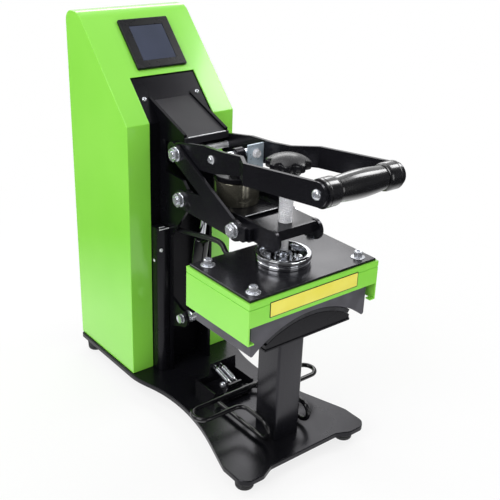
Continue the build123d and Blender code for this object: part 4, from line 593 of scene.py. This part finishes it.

# Painted highlights: thin bright rods laid along edges to stand for the one thin line of light they catch, on
# the cover's front fold, the top of the side box and the front of the magnet's plate.
make(
    "painted_highlight_edges",
    [turned(pin_profile(27.2, 0.75, 0.2), (0, 35.6, 357.6), (1, 0, 0), 16),
     turned(pin_profile(7.0, 0.7, 0.2), (-39.4, 70.2, 232.3), (1, 0, 0), 16),
     turned(pin_profile(4.0, 0.7, 0.2), (-39.0, 76.5, 232.4), (1, 0, 0), 16)], "frame", [bright_steel_and_painted_highlight],
)
# Painted highlight: a thin bright rod for the line of light along the front of the magnet's plate.
make(
    "magnet_plate_painted_highlight", [turned(pin_profile(24.0, 0.5, 0.2), (0, -69.9, 293.1), (1, 0, 0), 16)], "press_arm",
    [bright_steel_and_painted_highlight],
)

# ---------------------------------------------------------------------
# swivel flange: a turned ring, an open well and a hub
# ---------------------------------------------------------------------
flange = [
    (249, 0), (249, 30.4), (249.6, 31), (252.6, 31), (253.3, 30.4), (253.5, 29.2), (255.0, 29.2),
    (255.2, 31.2), (255.9, 32), (259.2, 32), (260.1, 31.6), (260.5, 30.8), (260.5, 27.4), (260.1, 26.4),
    (259.4, 26), (252.6, 26), (252, 25.4), (252, 10.4), (252.4, 10), (258.6, 10), (258.9, 9.6),
    (259.5, 9.6), (259.8, 10), (264, 10), (265, 9), (265, 5.05), (253.8, 5.05), (253.8, 0),
]
make(
    "chromed_flange", [turned(flange, (0, spindle_y, 0), (0, 0, 1), 96)], "platen", [chrome], bevel=0.12,
    replaces=["swivel_flange"],
)

# ---------------------------------------------------------------------
# spindle and star knob
# ---------------------------------------------------------------------
rows, pitch = 330, 2.4
rise = np.linspace(286, 352, rows)[:, None]
phase = np.mod(rise / pitch - angles(36)[None] / (2 * math.pi), 1.0)
crest = 7.95 - 1.7 * np.clip(np.abs(2 * phase - 1) * 1.5 - 0.25, 0, 1)
threads = [(float(z), ring) for z, ring in zip(rise[:, 0], crest)]
stem = [(254, 0), (254, 4.4), (254.6, 5), (283, 5), (284.5, 6.6)]
stem += threads + [(354, 7.0), (360, 7.0), (360, 0)]
make(
    "screw_spindle", [turned(stem, (0, spindle_y, 0), (0, 0, 1), 36)], "spindle", [bright_steel_and_painted_highlight],
    replaces=["pressure_spindle"], keep=50,
)


def lobed(radius, depth, steps=192, lobes=8, shift=math.pi / 8):
    """Ring with scallops between its lobes: it is set in by depth times the 1.3rd power of a raised
    cosine round it."""
    wave = 0.5 + 0.5 * np.cos(lobes * (angles(steps) - shift))
    return radius - depth * wave ** 1.3


star = lobed(24.5, 4.4)
dome = [(374 - 7.6 * k * k, np.minimum(24.5 * k, star - 0.5)) for k in np.linspace(1.0, 0.08, 24)]
knob = [
    (361, 0), (361, 8.3), (360.6, 8.05), (351.2, 8.05), (351, 8.4), (351, 12.6), (351.4, 13.4), (352.4, 14.2),
    (356.8, 15.4), (357.8, 16.8), (358.2, star - 2.6), (358.6, star - 1.0), (359.4, star), (365.4, star),
    (366.2, star - 0.2),
] + dome + [(374, 0)]
make(
    "star_hand_knob", [turned(knob, (0, spindle_y, 0), (0, 0, 1), 192)], "spindle", [nylon],
    replaces=["star_knob"], keep=45,
)

# ---------------------------------------------------------------------
# grip: sleeve, collars and through rod
# ---------------------------------------------------------------------
grip_spot = (0, -213.7, 371)
reach = np.linspace(-32.4, 32.4, 61)
swell = 12.6 + 2.0 * np.cos(reach / 32.4 * math.pi / 2) ** 1.15
sleeve_profile = [(-32.4, 4.4), (-32.4, 12.0)] + [(float(s), float(r)) for s, r in zip(reach, swell)][1:-1]
sleeve_profile += [(32.4, 12.0), (32.4, 4.4)]
make(
    "grip_sleeve", [turned(sleeve_profile, grip_spot, (1, 0, 0), 64)], "handle", [grip_vinyl],
    replaces=["handle_grip"],
)
collar = [
    (32.4, 4.4), (32.4, 12.4), (32.7, 13.2), (33.4, 13.9), (34.6, 14.5), (36.2, 14.8), (46.8, 14.8),
    (47.2, 14.2), (47.8, 14.2), (48.2, 14.8), (50.4, 14.8), (50.9, 14.4), (50.9, 4.4),
]
make(
    "grip_end_collars", [turned(collar, grip_spot, (side, 0, 0), 64) for side in (-1, 1)],
    "handle", [grip_vinyl], replaces=["grip_collars"],
)
through = [(-54, 0), (-54, 4), (54, 4), (54, 0)]
grip_screws = [turned(through, grip_spot, (1, 0, 0), 32)]
grip_screws += [
    turned(button_head(3.4, 5.6, 1.0, 3.2), (side * 55.0, *grip_spot[1:]), (side, 0, 0), 48)
    for side in (-1, 1)
]
make("grip_through_rod", grip_screws, "handle", [zinc], replaces=["grip_rod"])

# ---------------------------------------------------------------------
# gas spring
# ---------------------------------------------------------------------
gas_foot, gas_head = (np.array((-16.0, *spot[1:])) for spot in (gas_pin_spot, cross_pin_spot))
gas_way = unit(gas_head - gas_foot)
gas_len = float(np.linalg.norm(gas_head - gas_foot))
cylinder = [
    (7, 0), (7, 4.4), (8, 4.6), (12.5, 4.6), (12.6, 6.2), (15.6, 6.2), (16, 7.2), (16.6, 8.6),
    (18.2, 9.4), (19.4, 9.5), (116.4, 9.5), (117.6, 9.2), (118.2, 8.7), (118.4, 8.9), (119.2, 8.6),
    (120, 7.4), (120, 4.1), (60, 4.1), (60, 0),
]
band = [(19.6, 9.45), (19.6, 9.56), (42, 9.56), (42, 9.45)]
eye_ring = [(-5, 4.05), (-5, 7.5), (-4.4, 8), (4.4, 8), (5, 7.5), (5, 4.05)]
make(
    "gas_cylinder_turned",
    [turned(cylinder, gas_foot, gas_way, 64), turned(band, gas_foot, gas_way, 64, slot=1),
     turned(eye_ring + eye_ring[:1], gas_foot, (1, 0, 0), 48, slot=2)],
    "gas_cylinder", [wire_enamel, paper_white, zinc], replaces=["gas_spring_body"],
)
rod = [(47, 0), (47, 4), (gas_len - 9, 4), (gas_len - 9, 5.6), (gas_len - 6.4, 5.6), (gas_len - 6.4, 0)]
rod_eye = [(-5, 6.2), (-5, 7.1), (-4.6, 7.5), (4.6, 7.5), (5, 7.1), (5, 6.2)]
make(
    "gas_rod_turned",
    [turned(rod, gas_foot, gas_way, 48), turned(rod_eye + rod_eye[:1], gas_head, (1, 0, 0), 48)],
    "gas_piston", [ground_steel], replaces=["gas_spring_rod"],
)

# ---------------------------------------------------------------------
# heater lead and its glands
# ---------------------------------------------------------------------
lead_route = [
    (-20, 85.2, 228), (-20, 64, 228), (-28, 28, 239), (-30, -12, 248), (-30, -37, 251), (-30, -45, 240),
    (-30, -52, 240),
]
curve = bpy.data.curves.new("lead_line", "CURVE")
curve.dimensions = "3D"
line = curve.splines.new("NURBS")
line.points.add(len(lead_route) - 1)
line.points.foreach_set("co", np.hstack((np.array(lead_route, float), np.ones((len(lead_route), 1)))).ravel())
line.order_u = 3
line.use_endpoint_u = True
line.resolution_u = 10
route = bpy.data.objects.new("lead_line", curve)
bpy.context.scene.collection.objects.link(route)
sampled = bpy.data.meshes.new_from_object(route)
lead_line = np.empty(len(sampled.vertices) * 3)
sampled.vertices.foreach_get("co", lead_line)
lead_line = lead_line.reshape(-1, 3)
bpy.data.objects.remove(route)
bpy.data.curves.remove(curve)
bpy.data.meshes.remove(sampled)
lead = make("heater_lead_sleeve", [tube(lead_line, 3.2, (1, 0, 0), 20)], None, [sleeve])
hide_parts("heater_lead")
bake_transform(lead)

gland_profile = [
    (0, 3.5), (0, 5.2), (0.3, 5.5), (1.1, 5.5), (1.4, 5.1), (1.7, 5.1), (2.0, 5.5), (3.5, 5.4),
    (4.6, 4.5), (5, 4.0), (5, 3.25), (0.2, 3.25), (0, 3.5),
]
make(
    "panel_gland_moulded", [turned(gland_profile, (-20, 90.2, 228), (0, -1, 0))], "frame", [abs_black],
    replaces=["panel_gland"],
)
make(
    "platen_gland_moulded",
    [turned(
        [(-1.5, 0), (-1.5, 3.5)] + gland_profile[:-3] + [(5, 3.25), (1, 3.25), (1, 0)],
        (-30, -57, 240), (0, 1, 0),
    )],
    "platen", [abs_black], replaces=["platen_gland"],
)

# ---------------------------------------------------------------------
# hold-down bail and its springs
# ---------------------------------------------------------------------
bail_corners = [
    (15, -36, 31), (32, -36, 31), (32, -137, 31), (32, -137, 55), (32, -88, 55), (94, -88, 55), (94, -62, 55),
]
bail_radii = [7, 12, 12, 12, 13, 13]
left = np.array(bail_corners, float) * (-1, 1, 1)
bail_path = bent(np.vstack((left, np.array(bail_corners, float)[::-1])), bail_radii + bail_radii[::-1], 11)
make(
    "bail_wire", [tube(bail_path, 3.0, (0.21, 0.33, 0.92), 20)], "bail", [wire_enamel],
    replaces=["hold_down_bail"],
)

spring_from, spring_to = np.array((0, -32.0, 41.5)), np.array((0, 8.75, 51.0))
spring_way = unit(spring_to - spring_from)
spring_over = np.array((0, -spring_way[2], spring_way[1]))
spring_span = float(np.linalg.norm(spring_to - spring_from))
coil_radius, coil_turns = 3.05, 19
coil_start, coil_end = 9.0, spring_span - 9.0
hook_swing = np.radians(np.linspace(-150, 138, 28))
hook_along, hook_over = 4.0 - 3.2 * np.cos(hook_swing), 3.0 * np.sin(hook_swing)
whirl = np.linspace(0, 1, coil_turns * 18)
whirl_angle = math.pi / 2 + whirl * coil_turns * 2 * math.pi
along = np.concatenate((
    hook_along, coil_start + whirl * (coil_end - coil_start), spring_span - hook_along[::-1],
))
over = np.concatenate((hook_over, coil_radius * np.sin(whirl_angle), hook_over[::-1]))
beside = np.concatenate((0 * hook_over, coil_radius * np.cos(whirl_angle), 0 * hook_over))
coils = []
for x in (-4.6, 4.6):
    coil = spring_from + (x, 0, 0) + along[:, None] * spring_way + over[:, None] * spring_over
    coil = coil + beside[:, None] * np.array((1.0, 0, 0))
    coils.append(tube(coil, 0.5, spring_way + (0.3, 0, 0), 8))
springs = make("return_springs", coils, None, [spring_wire])
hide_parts("hold_down_springs")
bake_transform(springs)

# ---------------------------------------------------------------------
# saddle pad
# ---------------------------------------------------------------------
# The sheet lies over the saddle's curve, whose middle is saddle_z above the ground; each corner of its
# cross-section is its distance from that middle and its y.
saddle_z = 81
swing = (np.linspace(-1, 1, 81) * math.asin(62.9 / 125))[:, None]
across = np.array([
    (120.05, -160.2), (124.4, -160.4), (124.8, -160.1), (125, -159.6), (125, -73.4), (124.8, -72.9),
    (124.4, -72.6), (120.05, -72.8),
])
radius, depth = across[None, :, 0], across[None, :, 1]
pad_rings = np.stack(
    (radius * np.sin(swing), np.broadcast_to(depth, (len(swing), len(across))),
     saddle_z + radius * np.cos(swing)), axis=-1,
)
pad = make("saddle_pad_sheet", [skin(pad_rings)], "frame", [silicone], replaces=["saddle_pad"])

# ---------------------------------------------------------------------
# platen label: a yellow field inside a black edge line
# ---------------------------------------------------------------------
PLATEN_FRONT = -169.0
LABEL_X, LABEL_Z = -2.3, 231.8


def rounded_field(half_w, half_h, radius, depth, steps=8):
    """Outline of a rectangle with quarter-round corners, as one ring at that depth in front of the
    cover."""
    quarter = np.linspace(0, math.pi / 2, steps)
    turns = np.concatenate([quarter + k * math.pi / 2 for k in range(4)])
    corners = np.repeat([(1, 1), (-1, 1), (-1, -1), (1, -1)], steps, axis=0)
    centres = corners * (half_w - radius, half_h - radius)
    flat = centres + radius * np.stack((np.cos(turns), np.sin(turns)), axis=1)
    in_front = np.full(len(flat), PLATEN_FRONT - depth)
    return np.stack((flat[:, 0] + LABEL_X, in_front, flat[:, 1] + LABEL_Z), axis=1)


backing = np.stack([rounded_field(64.25 - k, 9.1 - k, 0.8, d) for k, d in ((0, 0.0), (0, 0.3), (0.1, 0.36))])
field = np.stack([rounded_field(63.3 - k, 8.15 - k, 0.5, d) for k, d in ((0, 0.3), (0, 0.42), (0.1, 0.45))])
make(
    "platen_label_print", [skin(backing), skin(field, slot=1)], "platen", [label_black, label_yellow],
    replaces=["platen_label"],
)

# ---------------------------------------------------------------------
# floor, light and background
# ---------------------------------------------------------------------
half_floor = 6.0
ground = bpy.data.meshes.new("floor")
ground.from_pydata(
    [(x * half_floor, y * half_floor, 0) for x, y in ((-1, -1), (1, -1), (1, 1), (-1, 1))], [],
    [(0, 1, 2, 3)],
)
floor = bpy.data.objects.new("floor", ground)
bpy.context.scene.collection.objects.link(floor)
paper = bpy.data.materials.new("white_paper_sweep")
paper.use_nodes = True
tree = paper.node_tree
tree.nodes.clear()
spot = node(tree, "TexCoord").outputs["Object"]
far = node(tree, "VectorMath", {0: spot}, operation="LENGTH").outputs["Value"]
fade = node(
    tree, "MapRange", {"Value": far, "From Min": 0.25, "From Max": 0.9, "To Min": 0.8},
    interpolation_type="SMOOTHSTEP",
).outputs[0]
dusk = node(tree, "MapRange", {"Value": far, "From Min": 0.35, "From Max": 0.65, "To Max": 0.95}).outputs[0]
seen = node(tree, "LightPath")
mirrored = node(
    tree, "Math", {0: seen.outputs["Is Glossy Ray"], 1: seen.outputs["Is Transmission Ray"]},
    operation="MAXIMUM",
).outputs[0]
dim = node(tree, "Math", {0: mirrored, 1: dusk}, operation="MULTIPLY").outputs[0]
level = node(tree, "Math", {0: 1.0, 1: dim}, operation="SUBTRACT").outputs[0]
lit = node(tree, "BsdfDiffuse", {"Color": linear("#F4F4F4")}).outputs[0]
glow = node(tree, "Emission", {"Color": linear("#FFFFFF"), "Strength": level}).outputs[0]
clear = node(tree, "Math", {0: seen.outputs["Is Camera Ray"], 1: fade}, operation="MULTIPLY").outputs[0]
clear = node(tree, "Math", {0: clear, 1: mirrored}, operation="MAXIMUM").outputs[0]
blend = node(tree, "MixShader", {0: clear, 1: lit, 2: glow}).outputs[0]
node(tree, "OutputMaterial", {"Surface": blend})
ground.materials.append(paper)

# A studio that is bright behind and above the object and dark in front of it, where the operator stands.
world = bpy.data.worlds.new("studio")
bpy.context.scene.world = world
world.use_nodes = True
tree = world.node_tree
tree.nodes.clear()
heading = node(tree, "TexCoord").outputs["Generated"]
bright_side = (0.15, 0.75, 0.65)
toward = node(tree, "VectorMath", {0: heading, 1: bright_side}, operation="DOT_PRODUCT").outputs["Value"]
mirror_level = node(
    tree, "MapRange", {"Value": toward, "From Min": 0.15, "From Max": 0.85, "To Min": 0.1, "To Max": 1.0},
).outputs[0]
soft = node(tree, "Background", {"Color": linear("#FFFFFF"), "Strength": 0.5}).outputs[0]
mirrored = node(tree, "Background", {"Color": linear("#FFFFFF"), "Strength": mirror_level}).outputs[0]
white = node(tree, "Background", {"Color": linear("#FFFFFF"), "Strength": 1.0}).outputs[0]
seen = node(tree, "LightPath")
shiny = node(
    tree, "Math", {0: seen.outputs["Is Glossy Ray"], 1: seen.outputs["Is Transmission Ray"]},
    operation="MAXIMUM",
).outputs[0]
some = node(tree, "MixShader", {0: shiny, 1: soft, 2: mirrored}).outputs[0]
all_rays = node(tree, "MixShader", {0: seen.outputs["Is Camera Ray"], 1: some, 2: white}).outputs[0]
node(tree, "OutputWorld", {"Surface": all_rays})


def lamp(name, spot, target, size, watts):
    """Soft square lamp at a spot, facing a target."""
    light = bpy.data.lights.new(name, "AREA")
    light.shape = "RECTANGLE"
    light.size, light.size_y = size
    light.energy = watts
    holder = bpy.data.objects.new(name, light)
    back = unit(np.asarray(spot, float) - np.asarray(target, float))
    side = unit(np.cross((0.0, 0.0, 1.0), back))
    turned_to = np.eye(4)
    turned_to[:3, :] = np.column_stack((side, np.cross(back, side), back, spot))
    holder.matrix_world = Matrix(turned_to.tolist())
    bpy.context.scene.collection.objects.link(holder)


lamp("key_softbox", (-1.7, -0.4, 1.5), (0, 0, 0.3), (1.3, 1.3), 23)
lamp("top_softbox", (-0.3, 0.7, 1.9), (0, 0, 0.2), (1.2, 1.2), 5)
lamp("grip_softbox", (1.3, -0.25, 1.62), (0, -0.2, 0.37), (0.6, 0.6), 9)
lamp("fill_softbox", (0.3, -2.2, 0.7), (0, 0, 0.25), (1.2, 1.2), 8)
lamp("rim_softbox", (0.8, 1.05, 1.08), (0, 0.1, 0.4), (0.9, 0.45), 4)
lamp("edge_softbox", (-0.65, 1.2, 1.25), (0, 0, 0.35), (0.5, 0.5), 4)
